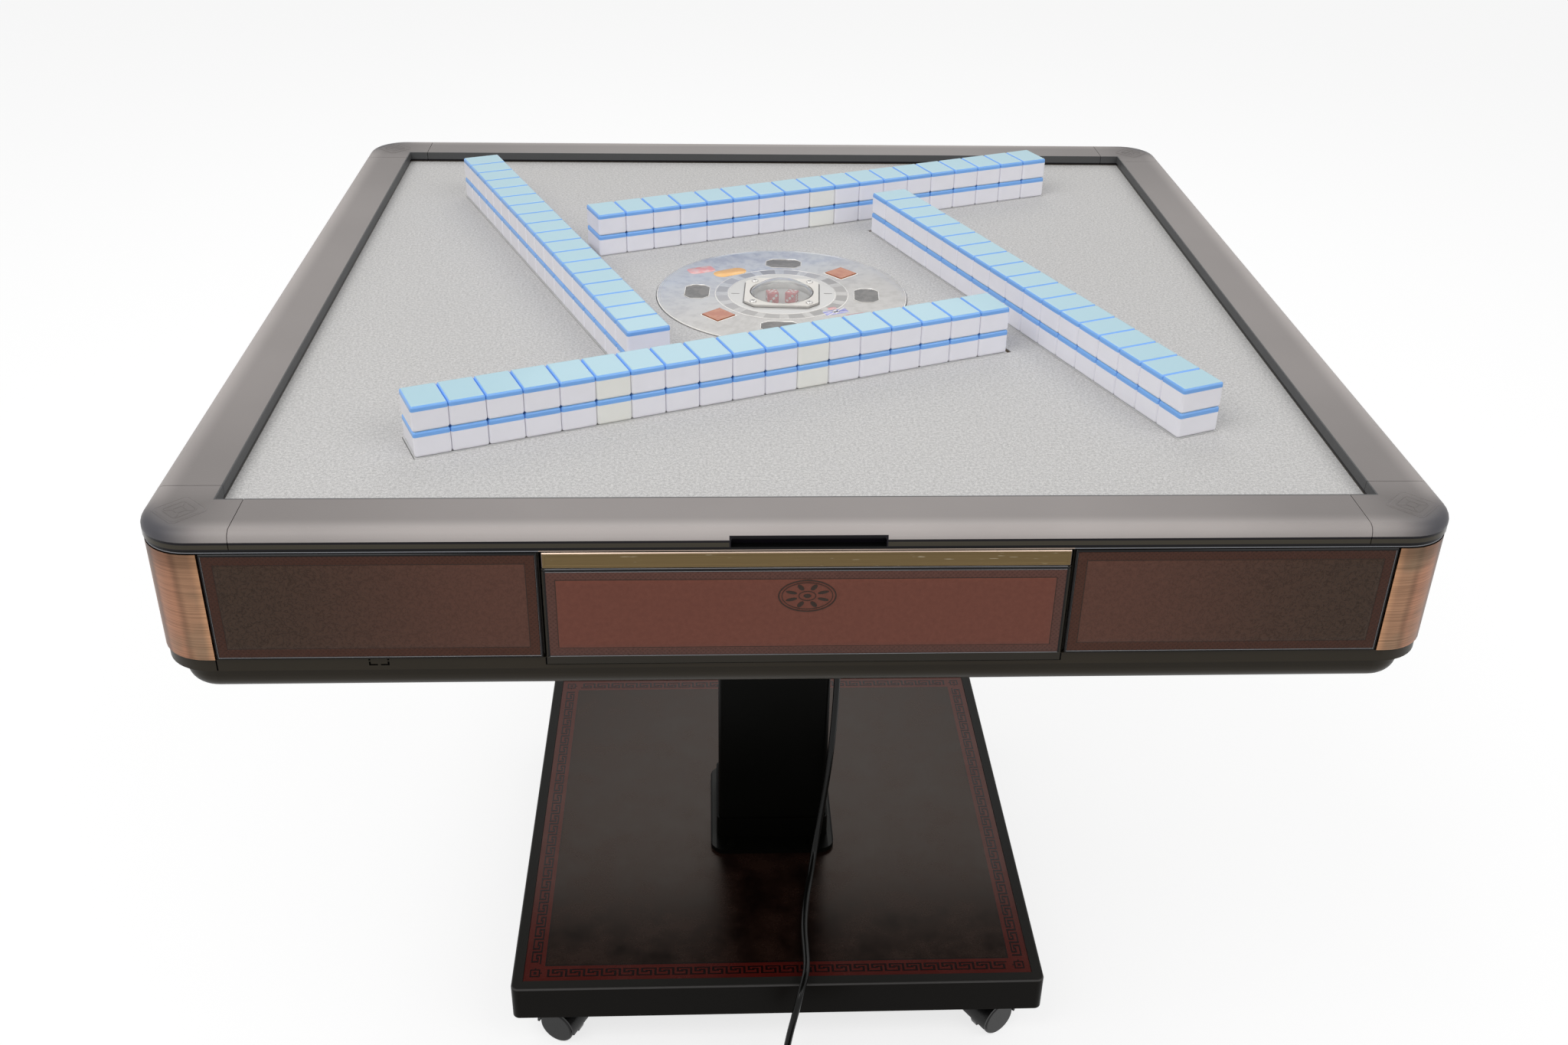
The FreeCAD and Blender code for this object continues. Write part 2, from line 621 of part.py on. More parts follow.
# An L-shaped runner on each side of each drawer stands on the case floor.
runner_in = S.box_half - S.runner_ledge
runner_face = S.box_half + S.gap
runner_out = runner_face + S.sheet
runner_right = prism("runner_right",
                     [(runner_in, runner_top - S.sheet), (runner_face, runner_top - S.sheet), (runner_face, floor_top),
                      (runner_out, floor_top), (runner_out, runner_top + S.runner_side),
                      (runner_face, runner_top + S.runner_side), (runner_face, runner_top), (runner_in, runner_top)],
                     (S.tray_radius - tray_half, box_back), along="Y")
runner_left = doc.addObject("Part::Mirroring", "runner_left")
runner_left.Source = runner_right
runner_left.Normal = V(1, 0, 0)
node("drawer_runners", four_times("runners", group("runner_pair", runner_left, runner_right)))

# ---------------------------------------------------------------- tiles and lifts
tile_blank = box("tile_blank", (0.0, S.tile_pitch - S.tile_play), (0.0, S.tile_length),
                 (0.0, S.tile_height - S.tile_play / 2.0))
doc.recompute()
tile = doc.addObject("Part::Fillet", "tile")
tile.Base = tile_blank
tile.Edges = [(index + 1, float(S.tile_edge), float(S.tile_edge)) for index in range(12)]
doc.recompute()
tile_wall = doc.addObject("Part::Feature", "tile_wall")
tiles = []
for stack in range(STACKS):
    for layer in range(2):
        one = tile.Shape.copy()
        one.translate(V(float(wall_start) + stack * float(S.tile_pitch) + float(S.tile_play) / 2.0, float(wall_outer),
                        float(felt_top) + layer * float(S.tile_height)))
        tiles.append(one)
tile_wall.Shape = Part.makeCompound(tiles)

platform_low = felt_top - S.platform_thick
leg_low = floor_top + S.lift_travel + S.gap * 5.0
platform = box("platform", (wall_start - S.platform_play, wall_end + S.platform_play),
               (wall_outer - S.platform_play, wall_inner + S.platform_play), (platform_low, felt_top))
wall_axis = (wall_outer + wall_inner) / 2.0
guide_top = platform_low - S.lift_travel - S.gap * 3.0
shelf_top = felt_top - S.lift_travel
shelf_edge = wall_outer - S.shelf_reach
shelf_inner = wall_outer - S.platform_play - S.gap * 6.0
legs, guides = [], []
for word, middle in (("outer", wall_middle - S.leg_spread), ("inner", wall_middle + S.leg_spread)):
    half_width, half_depth = S.leg_width / 2.0, S.leg_depth / 2.0
    legs.append(box("leg_" + word, (middle - half_width, middle + half_width),
                    (wall_axis - half_depth, wall_axis + half_depth), (leg_low, platform_low)))
    room, side_room = half_width + S.gap, half_depth + S.gap
    post = box("guide_post_" + word, (middle - room - S.guide_wall, middle + room + S.guide_wall),
               (wall_axis - side_room - S.guide_wall, wall_axis + side_room + S.guide_wall), (floor_top, guide_top))
    bore = box("guide_room_" + word, (middle - room, middle + room), (wall_axis - side_room, wall_axis + side_room),
               (floor_top - 1.0, guide_top + 1.0))
    web = (middle - S.web_thick / 2.0, middle + S.web_thick / 2.0)
    guides += [cut("guide_" + word, post, bore),
               box("guide_web_" + word, web, (shelf_edge, wall_axis - side_room - 1.0), (floor_top, guide_top)),
               box("shelf_web_" + word, web, (shelf_edge, shelf_inner), (floor_top, shelf_top - S.shelf_thick))]
lift = fuse("lift", platform, *legs)
shelf = box("shelf", (wall_start, wall_end + S.shelf_past), (shelf_edge, shelf_inner),
            (shelf_top - S.shelf_thick, shelf_top))
node("lift_guides", four_times("guides", fuse("guide_set", shelf, *guides), WALL_ANGLE))
for side, word in enumerate(SIDES):
    node("lift_" + word, copy_at("platform_" + word, lift, WALL_ANGLE + 90.0 * side))
    node("tiles_" + word, copy_at("wall_" + word, tile_wall, WALL_ANGLE + 90.0 * side))

# ---------------------------------------------------------------- drum and motors
drum_top = floor_top + S.drum_floor
drum_low = drum_top - S.drum_thick
skirt_low = drum_low - S.skirt_depth
hub_bore = S.actuator_radius + S.running_gap
plate = cylinder("plate", S.drum_radius, 0.0, 0.0, (drum_low, drum_top))
hub = cylinder("hub", S.hub_radius, 0.0, 0.0, (skirt_low, drum_top))
skirt = cut("skirt", cylinder("skirt_outer", S.skirt_radius, 0.0, 0.0, (skirt_low, drum_low)),
            cylinder("skirt_inner", S.skirt_radius - S.skirt_thick, 0.0, 0.0, (skirt_low - 1.0, drum_low + 1.0)))
paddle = box("paddle", (S.hub_radius, S.drum_radius - S.paddle_width), (-S.paddle_width / 2.0, S.paddle_width / 2.0),
             (drum_top - 1.0, drum_top + S.paddle_height))
doc.recompute()
paddles = doc.addObject("Part::Feature", "paddles")
paddles.Shape = Part.makeCompound([turned(paddle.Shape, 360.0 * n / PADDLES) for n in range(PADDLES)])
node("drum_plate", cut("drum", fuse("drum_block", plate, hub, skirt, paddles),
                       cylinder("drum_bore", hub_bore, 0.0, 0.0, (skirt_low - 2.0, drum_top + 2.0))))

wall_bore = S.drum_radius + S.drum_wall_gap
gate_angle = WALL_ANGLE - 45.0
gate = box("gate", (wall_bore - 10.0, wall_bore + S.drum_wall_thick + 10.0), (-S.gate_width / 2.0, S.gate_width / 2.0),
           (drum_top, floor_top + S.drum_wall_height + 1.0))
gates = four_times("gates", gate, gate_angle)
node("drum_wall", cut("drum_fence", cylinder("fence_outer", wall_bore + S.drum_wall_thick, 0.0, 0.0,
                                             (floor_top, floor_top + S.drum_wall_height)),
                      cylinder("fence_inner", wall_bore, 0.0, 0.0,
                               (floor_top - 1.0, floor_top + S.drum_wall_height + 1.0)), gates))

# The friction wheel runs on the outside of the drum's drive ring.
wheel_y = S.skirt_radius + S.wheel_radius + S.gap
wheel_low = skirt_low + S.gap * 4.0
motor_top = floor_top + S.motor_height
node("drum_drive_wheel", fuse("drive_wheel",
                              cylinder("wheel_rim", S.wheel_radius, 0.0, wheel_y, (wheel_low, wheel_low + S.wheel_width)),
                              cylinder("wheel_shaft", S.shaft_radius, 0.0, wheel_y, (motor_top - 8.0, wheel_low))))
drum_motor = cut("drum_motor", cylinder("drum_motor_can", S.motor_radius, 0.0, wheel_y, (floor_top, motor_top)),
                 cylinder("drum_motor_bore", S.shaft_radius + S.running_gap, 0.0, wheel_y,
                          (motor_top - 9.0, motor_top + 1.0)))
lift_motor = box("lift_motor", (wall_middle - S.lift_motor_length / 2.0, wall_middle + S.lift_motor_length / 2.0),
                 (wall_inner + S.lift_motor_gap, wall_inner + S.lift_motor_gap + S.lift_motor_depth),
                 (floor_top, floor_top + S.lift_motor_height))
node("drive_motors", group("motors", drum_motor, four_times("lift_motors", lift_motor, WALL_ANGLE)))
control_left = -S.rim_half + S.control_inset
control_front = S.tray_radius - tray_half
node("control_box", box("controls", (control_left, control_left + S.control_length),
                        (control_front, control_front + S.control_depth), (floor_top, floor_top + S.control_height)))

# ---------------------------------------------------------------- control disc and its actuator
actuator_top = housing_low - S.actuator_gap
rod_low = floor_top + S.actuator_floor + S.post_clear
collar_top = skirt_low - S.gap
node("disc_actuator", cut("actuator",
                          fuse("actuator_block",
                               cylinder("actuator_can", S.actuator_radius, 0.0, 0.0, (floor_top, actuator_top)),
                               cylinder("actuator_collar", S.hub_radius, 0.0, 0.0,
                                        (collar_top - S.collar_thick, collar_top))),
                          cylinder("actuator_bore", S.post_radius + S.running_gap, 0.0, 0.0,
                                   (floor_top + S.actuator_floor, actuator_top + 1.0))))
spindle_bore = S.spindle_radius + S.running_gap
tray_low = disc_low + S.gap
spindle_low = tray_low - S.spindle_length
node("disc_post", cut("post",
                      fuse("post_block", cylinder("post_rod", S.post_radius, 0.0, 0.0, (rod_low, housing_low)),
                           cylinder("post_housing", S.housing_radius, 0.0, 0.0, (housing_low, disc_low))),
                      cylinder("post_bore", spindle_bore, 0.0, 0.0, (spindle_low - 1.0, disc_low + 1.0))))


def octagon(half_x, half_y, corner):
    """A rectangle with cut corners round the origin."""
    points = []
    for sx, sy, first in ((-1, -1, True), (1, -1, False), (1, 1, True), (-1, 1, False)):
        beside = (half_x * sx, (half_y - corner) * sy)
        above = ((half_x - corner) * sx, half_y * sy)
        points += [beside, above] if first else [above, beside]
    return points


window_low = disc_top - S.window_thick
window = prism("window", octagon(S.window_long / 2.0, S.window_short / 2.0, S.window_cut), (window_low, disc_top),
               offset=(0.0, -S.window_ring))
window_bed = prism("window_bed", octagon(S.window_long / 2.0 + S.gap, S.window_short / 2.0 + S.gap, S.window_cut),
                   (window_low, disc_top + 1.0), offset=(0.0, -S.window_ring))
node("display_windows", four_times("windows", window, DISC_ANGLE))
button_low = disc_top + S.button_rise - S.button_thick
button_half, bed_half = S.button_side / 2.0, S.button_side / 2.0 + S.button_play
button = box("button", (S.button_ring - button_half, S.button_ring + button_half), (-button_half, button_half),
             (button_low, button_low + S.button_thick))
button_bed = box("button_bed", (S.button_ring - bed_half, S.button_ring + bed_half), (-bed_half, bed_half),
                 (button_low - S.button_travel - S.gap, disc_top + 1.0))
doc.recompute()
diagonals = {"near": 225.0 + DISC_ANGLE, "far": 45.0 + DISC_ANGLE}
for word, degrees in diagonals.items():
    piece = doc.addObject("Part::Feature", "diamond_" + word)
    piece.Shape = turned(button.Shape, degrees)
    node("button_" + word, piece)
disc_blank = cut("disc_blank", cylinder("disc_round", S.disc_radius, 0.0, 0.0, (disc_low, disc_top)),
                 cylinder("disc_eye", S.dice_tray_radius + S.gap * 2.0, 0.0, 0.0, (disc_low - 1.0, disc_top + 1.0)),
                 four_times("window_beds", window_bed, DISC_ANGLE))
node("disc_plate", drilled("disc_finished", disc_blank,
                           [turned(button_bed.Shape, degrees) for degrees in diagonals.values()]))

# Square bezel with the clear dome of the dice, turned with the disc.
bezel_top = disc_top + S.bezel_thick
bezel = cut("bezel_plate", prism("bezel_blank", octagon(S.bezel_half, S.bezel_half, S.bezel_cut), (disc_top, bezel_top)),
            cylinder("bezel_eye", S.dome_radius + S.gap, 0.0, 0.0, (disc_top - 1.0, bezel_top + 1.0)))
node("dice_bezel", copy_at("bezel", bezel, DISC_ANGLE))
dome_base = disc_top + S.dome_foot


def dome_cap(name, foot_radius, height):
    """The part of a ball above a flat circle."""
    ball_radius = (foot_radius * foot_radius + height * height) / (height * 2.0)
    ball = doc.addObject("Part::Sphere", name + "_ball")
    bind(ball, "Radius", ball_radius)
    place(ball, 0.0, 0.0, dome_base + height - ball_radius)
    keep = cylinder(name + "_keep", foot_radius + 1.0, 0.0, 0.0, (dome_base, dome_base + height + 1.0))
    return common(name, ball, keep)


dome_room = S.dome_radius - S.dome_wall
dome_outside = fuse("dome_outside", dome_cap("dome_cap", S.dome_radius, S.dome_height),
                    cylinder("dome_foot", S.dome_radius, 0.0, 0.0, (disc_top, dome_base)))
dome_inside = fuse("dome_inside", dome_cap("dome_room", dome_room, S.dome_height - S.dome_wall),
                   cylinder("dome_foot_room", dome_room, 0.0, 0.0, (disc_top - 1.0, dome_base)))
node("dice_dome", cut("dome", dome_outside, dome_inside))
tray_top = tray_low + S.dice_tray_thick
node("dice_tray", fuse("shaker", cylinder("shaker_plate", S.dice_tray_radius, 0.0, 0.0, (tray_low, tray_top)),
                       cylinder("shaker_spindle", S.spindle_radius, 0.0, 0.0, (spindle_low, tray_low))))
die_half = S.die_side / 2.0
die_blank = box("die_blank", (-die_half, die_half), (-die_half, die_half), (tray_top, tray_top + S.die_side))
doc.recompute()
die = doc.addObject("Part::Fillet", "die")
die.Base = die_blank
die.Edges = [(index + 1, float(S.die_edge), float(S.die_edge)) for index in range(12)]
doc.recompute()
dice = doc.addObject("Part::Feature", "two_dice")
pair = []
for sign, turn in ((-1, 12.0), (1, -24.0)):
    one = turned(die.Shape, turn)
    one.translate(V(sign * float(S.die_spread), -float(S.die_forward), 0))
    pair.append(one)
dice.Shape = Part.makeCompound(pair)
node("dice", dice)

# ---------------------------------------------------------------- hinge
column_half = S.column_width / 2.0
column_front = S.column_back - S.column_depth / 2.0
column_rear = S.column_back + S.column_depth / 2.0
ear_outer = S.ear_inner + S.ear_thick
moving_inner = ear_outer + S.ear_side_gap
moving_outer = moving_inner + S.ear_thick
pin_half = moving_outer + S.pin_past


def ears(name, inner, outer, back, top):
    """A pair of ears round the hinge pin, each with its neck up to a plate."""
    parts = []
    for word, x in (("left", (-outer, -inner)), ("right", (inner, outer))):
        disc = cylinder("%s_%s_round" % (name, word), S.ear_radius, x, S.hinge_back, pin_height, along="X")
        neck = box("%s_%s_neck" % (name, word), x, (S.hinge_back - S.ear_radius, back), (pin_height, top))
        parts += [disc, neck]
    return parts


bracket_ears = ears("bracket_ear", moving_inner, moving_outer, S.hinge_back + S.ear_radius, hinge_top)
bracket_plate = box("bracket_plate", (-column_half, column_half), (column_front, S.hinge_back + S.ear_radius),
                    (hinge_top, case_low))
node("hinge_bracket", cut("bracket", fuse("bracket_block", bracket_plate, *bracket_ears),
                          cylinder("bracket_bore", S.pin_radius, (-pin_half - 1.0, pin_half + 1.0), S.hinge_back,
                                   pin_height, along="X")))
node("fold_pin", cylinder("hinge_pin", S.pin_radius, (-pin_half, pin_half), S.hinge_back, pin_height, along="X"))
head_ears = ears("head_ear", S.ear_inner, ear_outer, S.hinge_back, column_top)
head_plate = box("head_plate", (-column_half, column_half), (column_front, column_rear), (column_top, head_top))
head_tongue = box("head_tongue", (-ear_outer, ear_outer), (column_rear - 1.0, S.hinge_back), (column_top, head_top))
node("column_head", cut("head", fuse("head_block", head_plate, head_tongue, *head_ears),
                        cylinder("head_bore", S.pin_radius + S.running_gap, (-pin_half - 1.0, pin_half + 1.0),
                                 S.hinge_back, pin_height, along="X")))

# ---------------------------------------------------------------- column


def rounded_bar(name, half_x, half_y, radius, ends):
    """An upright bar of rounded rectangular section on the column's axis."""
    corners = [(-half_x, -half_y), (half_x, -half_y), (half_x, half_y), (-half_x, half_y)]
    return soften(prism(name, corners, ends, offset=(0.0, S.column_back)), radius, upright)


column_side = S.column_depth / 2.0
node("column", cut("column_tube", rounded_bar("column_outer", column_half, column_side, S.column_edge,
                                              (foot_top, column_top)),
                   rounded_bar("column_inner", column_half - S.column_wall, column_side - S.column_wall,
                               S.column_edge - S.column_wall, (foot_top - 1.0, column_top + 1.0))))
boot_room_x, boot_room_y = column_half + S.boot_play, column_side + S.boot_play
sleeve = cut("sleeve", rounded_bar("sleeve_outer", boot_room_x + S.boot_wall, boot_room_y + S.boot_wall,
                                   S.column_edge + S.boot_wall, (foot_top - 1.0, foot_top + S.boot_height)),
             rounded_bar("sleeve_inner", boot_room_x, boot_room_y, S.column_edge,
                         (foot_top, foot_top + S.boot_height + 1.0)))
foot = rounded_bar("foot_plate", S.foot_width / 2.0, S.foot_depth / 2.0, S.foot_corner, (base_board_top, foot_top))
bolt_spread = S.foot_depth / 2.0 - S.bolt_inset
bolts, bolt_holes = [], []
for word, x, y in (("front_left", -S.bolt_side, S.column_back - bolt_spread),
                   ("front_right", S.bolt_side, S.column_back - bolt_spread),
                   ("back_left", -S.bolt_side, S.column_back + bolt_spread),
                   ("back_right", S.bolt_side, S.column_back + bolt_spread)):
    shank = cylinder("shank_" + word, S.bolt_radius, x, y, (foot_top - S.bolt_length, foot_top))
    head = cylinder("bolt_head_" + word, S.bolt_head, x, y, (foot_top, foot_top + S.bolt_head_height))
    bolts.append(fuse("bolt_" + word, shank, head))
    bolt_holes.append(cylinder("bolt_hole_" + word, S.bolt_radius + S.running_gap, x, y,
                               (foot_top - S.bolt_length - 1.0, foot_top + 1.0)))
drill = fuse("bolt_drill", *bolt_holes)
node("column_boot", cut("boot", fuse("boot_block", foot, sleeve), drill))
node("column_bolts", group("bolts", *bolts))

# ---------------------------------------------------------------- base
frame_room = S.base_half - S.frame_width
board_seat = base_board_top - S.base_board_thick
base_ring = soften(block("base_block", S.base_half, S.base_corner, (S.caster_height, base_top), S.column_back),
                   S.frame_edge, lambda edge: edge.BoundBox.ZMin > float(S.base_height) - 1e-3)
base_hole = plain("base_hole", frame_room - S.base_ledge, (S.caster_height - 1.0, base_top + 1.0), S.column_back)
base_seat = plain("base_seat", frame_room, (board_seat, base_top + 1.0), S.column_back)
base_under = plain("base_under", frame_room, (S.caster_height - 1.0, board_seat - S.base_ledge_thick), S.column_back)
beams = [box("beam_" + word, (-frame_room, frame_room), (middle - S.beam_width / 2.0, middle + S.beam_width / 2.0),
             (board_seat - S.beam_height, board_seat))
         for word, middle in (("front", S.column_back - bolt_spread), ("back", S.column_back + bolt_spread))]
caster_spread = S.base_half - S.caster_inset
corner_plates, sockets, socket_bores = [], [], []
for word in CASTERS:
    sx = 1 if word.endswith("right") else -1
    sy = 1 if word.startswith("back") else -1
    reach = sorted([frame_room * sx, (frame_room - S.corner_plate) * sx], key=float)
    depth = sorted([S.column_back + frame_room * sy, S.column_back + (frame_room - S.corner_plate) * sy], key=float)
    corner_plates.append(box("corner_plate_" + word, reach, depth,
                             (S.caster_height, S.caster_height + S.corner_plate_thick)))
    x, y = caster_spread * sx, S.column_back + caster_spread * sy
    sockets.append(cylinder("socket_" + word, S.socket_radius, x, y,
                            (S.caster_height, S.caster_height + S.socket_height)))
    socket_bores.append(cylinder("socket_bore_" + word, S.stem_radius + S.running_gap, x, y,
                                 (S.caster_height - 2.0, S.caster_height + S.socket_height + 1.0)))
frame_shell = cut("frame_shell", base_ring, base_hole, base_seat, base_under)
node("base_frame", cut("frame", fuse("frame_block", frame_shell, *(beams + corner_plates + sockets)),
                       drill, *socket_bores))
node("base_board", cut("base_cover", plain("base_cover_blank", frame_room - S.base_board_play,
                                           (board_seat, base_board_top), S.column_back), drill))

# ---------------------------------------------------------------- casters
# Each caster is drawn with its trail along +X and its axle along Y, its stem on
# the Z axis, and then turned to its heading and moved to its corner.
web_half = S.caster_web / 2.0
wheel_in = web_half + S.caster_play
wheel_out = wheel_in + S.caster_wheel_width
axle_height = S.caster_wheel_radius
collar_low = S.caster_height - S.gap - S.collar_height
hood_room = S.caster_wheel_radius + S.hood_gap
hood_out = hood_room + S.hood_thick
hood_ring = cut("hood_ring", cylinder("hood_outer", hood_out, S.caster_trail, (-wheel_out, wheel_out), axle_height,
                                      along="Y"),
                cylinder("hood_inner", hood_room, S.caster_trail, (-wheel_out - 1.0, wheel_out + 1.0), axle_height,
                         along="Y"),
                box("hood_below", (S.caster_trail - hood_out - 1.0, S.caster_trail + hood_out + 1.0),
                    (-wheel_out - 2.0, wheel_out + 2.0), (-hood_out, axle_height - 1.0)))
hood_web = cylinder("hood_web", hood_out - 1.0, S.caster_trail, (-web_half, web_half), axle_height, along="Y")
web_cut = box("web_cut", (S.caster_trail - hood_out, S.caster_trail + hood_out), (-web_half - 1.0, web_half + 1.0),
              (-hood_out, axle_height - S.axle_radius * 3.0))
collar = cylinder("caster_collar", S.collar_radius, 0.0, 0.0, (collar_low, collar_low + S.collar_height))
neck = cylinder("caster_neck", S.collar_radius - 2.0, 0.0, 0.0, (axle_height + S.gap, collar_low))
neck_cut = cylinder("neck_cut", hood_room, S.caster_trail, (-wheel_out - 3.0, -web_half), axle_height, along="Y")
neck_cut_two = cylinder("neck_cut_two", hood_room, S.caster_trail, (web_half, wheel_out + 3.0), axle_height, along="Y")
stem = cylinder("caster_stem", S.stem_radius, 0.0, 0.0,
                (collar_low + S.collar_height - 1.0, collar_low + S.collar_height + S.stem_length))
axle = cylinder("caster_axle", S.axle_radius, S.caster_trail, (-wheel_out, wheel_out), axle_height, along="Y")
fork = fuse("caster_fork", hood_ring, cut("web", hood_web, web_cut), collar, cut("neck", neck, neck_cut, neck_cut_two),
            stem, axle)
wheels = []
for word, y in (("left", (-wheel_out, -wheel_in)), ("right", (wheel_in, wheel_out))):
    rim = cylinder("caster_rim_" + word, S.caster_wheel_radius, S.caster_trail, y, axle_height, along="Y")
    doc.recompute()
    rounded = doc.addObject("Part::Fillet", "caster_tyre_" + word)
    rounded.Base = rim
    rounded.Edges = [(n + 1, float(S.caster_wheel_edge), float(S.caster_wheel_edge))
                     for n, edge in enumerate(rim.Shape.Edges) if edge.BoundBox.YLength < 1e-3]
    wheels.append(cut("caster_wheel_" + word, rounded,
                      cylinder("caster_bore_" + word, S.axle_radius + S.running_gap, S.caster_trail,
                               (y[0] - 1.0, y[1] + 1.0), axle_height, along="Y")))
wheel_pair = group("caster_wheels", *wheels)
doc.recompute()
for word, heading in CASTERS.items():
    sx = 1 if word.endswith("right") else -1
    sy = 1 if word.startswith("back") else -1
    spot = V(sx * float(caster_spread), float(S.column_back) + sy * float(caster_spread), 0)
    stand = FreeCAD.Placement(spot, FreeCAD.Rotation(V(0, 0, 1), heading))
    for kind, source in (("caster_fork_", fork), ("caster_wheels_", wheel_pair)):
        piece = doc.addObject("Part::Feature", "set_" + kind + word)
        piece.Shape = source.Shape.copy()
        piece.Placement = stand
        node(kind + word, piece)

# ---------------------------------------------------------------- mains lead
gland_x = (column_half, column_half + S.gland_width)
gland_y = (-S.gland_depth / 2.0, S.gland_depth / 2.0)
gland_axis = column_half + S.gland_width / 2.0
gland_top = column_top - S.gland_drop
gland_low = gland_top - S.gland_height
gland_box = box("gland_box", gland_x, gland_y, (gland_low, gland_top))
gland_cone = cone("gland_cone", S.relief_tip, S.relief_radius, gland_axis, 0.0,
                  (gland_low - S.relief_length, gland_low))
node("cord_gland", fuse("gland", gland_box, gland_cone))

cord_floor = float(S.cord_radius) + 0.25
cord_across = S.cord_radius * 2.0
coil_y = -S.coil_front
coil_enter = S.coil_x - S.coil_middle - S.cord_radius
cord_top = float(gland_low - S.relief_length)
cord_lies = float(base_top) + 5.0


def hung(share):
    """A height on the lead's way down, from 0 where it lies to 1 at its outlet."""
    return cord_lies + (cord_top - cord_lies) * share


# Down beside the column, across the base board and over the base's front edge.
CORD_ROUTE = [
    V(float(gland_axis), 0.0, cord_top),
    V(float(gland_axis), 0.0, hung(0.852)),
    V(70.5, -6.0, hung(0.66)),
    V(69.5, -16.0, hung(0.469)),
    V(64.0, -29.0, hung(0.294)),
    V(56.0, -39.0, hung(0.153)),
    V(48.5, -54.0, hung(0.0455)),
    V(41.5, -84.0, 99.0),
    V(34.5, -122.0, 97.0),
    V(30.0, -164.0, 97.0),
    V(30.5, -200.0, 97.5),
    V(30.0, -225.0, 101.0),
    V(27.0, -245.0, 104.0),
    V(21.5, -262.0, 98.5),
    V(16.0, -273.0, 82.0),
    V(10.5, -279.0, 60.0),
    V(6.5, -284.0, 38.0),
    V(3.5, -294.0, 18.0),
    V(1.5, -311.0, 6.5),
    V(0.4, -331.0, cord_floor),
    V(float(coil_enter), -351.0, cord_floor),
    V(float(coil_enter), float(coil_y), cord_floor),
]


def bent_tube(route, radius):
    """A tube on straight runs joined by tangent arcs, and its bends' radii."""
    edges, radii, here = [], [], route[0]
    for before, corner, after in zip(route, route[1:], route[2:]):
        arrive, leave = corner - before, after - corner
        turn = arrive.getAngle(leave)
        shorter = min(arrive.Length, leave.Length)
        bend = 0.45 * shorter / math.tan(turn / 2.0)
        radii.append(bend)
        reach = bend * math.tan(turn / 2.0)
        arrive.normalize()
        leave.normalize()
        first, last = corner - arrive * reach, corner + leave * reach
        towards = leave - arrive
        towards.normalize()
        middle = corner + towards * (bend / math.cos(turn / 2.0) - bend)
        edges.append(Part.LineSegment(here, first).toShape())
        edges.append(Part.Arc(first, middle, last).toShape())
        here = last
    edges.append(Part.LineSegment(here, route[-1]).toShape())
    path = Part.Wire(edges)
    section = Part.Wire(Part.makeCircle(radius, route[0], route[1] - route[0]))
    tube = path.makePipeShell([section], True, False, 2)
    return tube, path.Length, radii


tube_shape, tube_length, bends = bent_tube(CORD_ROUTE, float(S.cord_radius))
cord = doc.addObject("Part::Feature", "cord_tube")
cord.Shape = tube_shape
node("cord", cord)
expected = math.pi * float(S.cord_radius) ** 2 * tube_length
print("cord tube %.0f mm, volume %.0f of %.0f" % (tube_length, tube_shape.Volume, expected))
print("cord radii", " ".join("%.0f" % bend for bend in bends))

coil_outer = S.coil_middle + cord_across
coil_room = S.coil_middle - cord_across
coil_top = cord_across * S.coil_layers
node("cord_coil", cut("coil", cylinder("coil_round", coil_outer, S.coil_x, coil_y, (0.0, coil_top)),
                      cylinder("coil_room", coil_room, S.coil_x, coil_y, (-1.0, coil_top + 1.0)),
                      box("coil_entry", (coil_enter - cord_across, coil_enter + S.cord_radius + S.gap),
                          (coil_y, coil_y + coil_outer), (-1.0, cord_across + S.gap * 2.0))))
turn_length = 2.0 * math.pi * float(S.coil_middle)
print("cord coil %.0f mm" % (2.0 * float(S.coil_layers) * turn_length))

# The plug lies beside the coil, its strain relief against the last turn.
plug_axis = S.plug_height / 2.0
plug_y = coil_y - S.coil_middle - S.cord_radius
relief_start = S.coil_x + S.cord_radius * 7.5
plug_start = relief_start + S.relief_length
doc.recompute()
relief = doc.addObject("Part::Cone", "plug_relief")
bind(relief, "Radius1", S.relief_tip)
bind(relief, "Radius2", S.relief_radius)
bind(relief, "Height", S.relief_length)
relief.Placement.Rotation = FreeCAD.Rotation(V(0, 1, 0), 90)
place(relief, relief_start, plug_y, plug_axis)
plug_blank = box("plug_blank", (plug_start, plug_start + S.plug_length),
                 (plug_y - S.plug_width / 2.0, plug_y + S.plug_width / 2.0), (0.0, S.plug_height))
doc.recompute()
plug_body = doc.addObject("Part::Fillet", "plug_body")
plug_body.Base = plug_blank
plug_body.Edges = [(index + 1, float(S.plug_edge), float(S.plug_edge)) for index in range(12)]
plug_end = plug_start + S.plug_length
pins = [cylinder("plug_pin_" + word, S.plug_pin_radius, (plug_end - 2.0, plug_end + S.plug_pin_length),
                 plug_y + S.plug_pin_spread * sign, plug_axis, along="X")
        for word, sign in (("near", -1), ("far", 1))]
node("cord_plug", fuse("plug", plug_body, relief, *pins))

# ---------------------------------------------------------------- check and write
doc.recompute()
faults = [item.Name for item in doc.Objects if "Invalid" in item.State or "Error" in item.State]
for name, item in NODES.items():
    if item.Shape.isNull() or not item.Shape.isValid() or not item.Shape.Solids:
        faults.append(name)
if faults:
    raise RuntimeError("failed: " + ", ".join(faults))
os.makedirs("parts", exist_ok=True)
for name, item in NODES.items():
    item.Shape.exportStep("parts/%s.step" % name)
print(len(NODES), "nodes,", sum(len(item.Shape.Solids) for item in NODES.values()), "solids")
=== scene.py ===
"""Looks of the mahjong table: camera, cord, lights, finishes and fine pieces.

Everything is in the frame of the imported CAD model: the table stands on z = 0,
its front faces -Y and its middle is on the Z axis. The finishes measure in
metres. Shapes are written in millimetres and scaled by MM.
"""
import json
import math

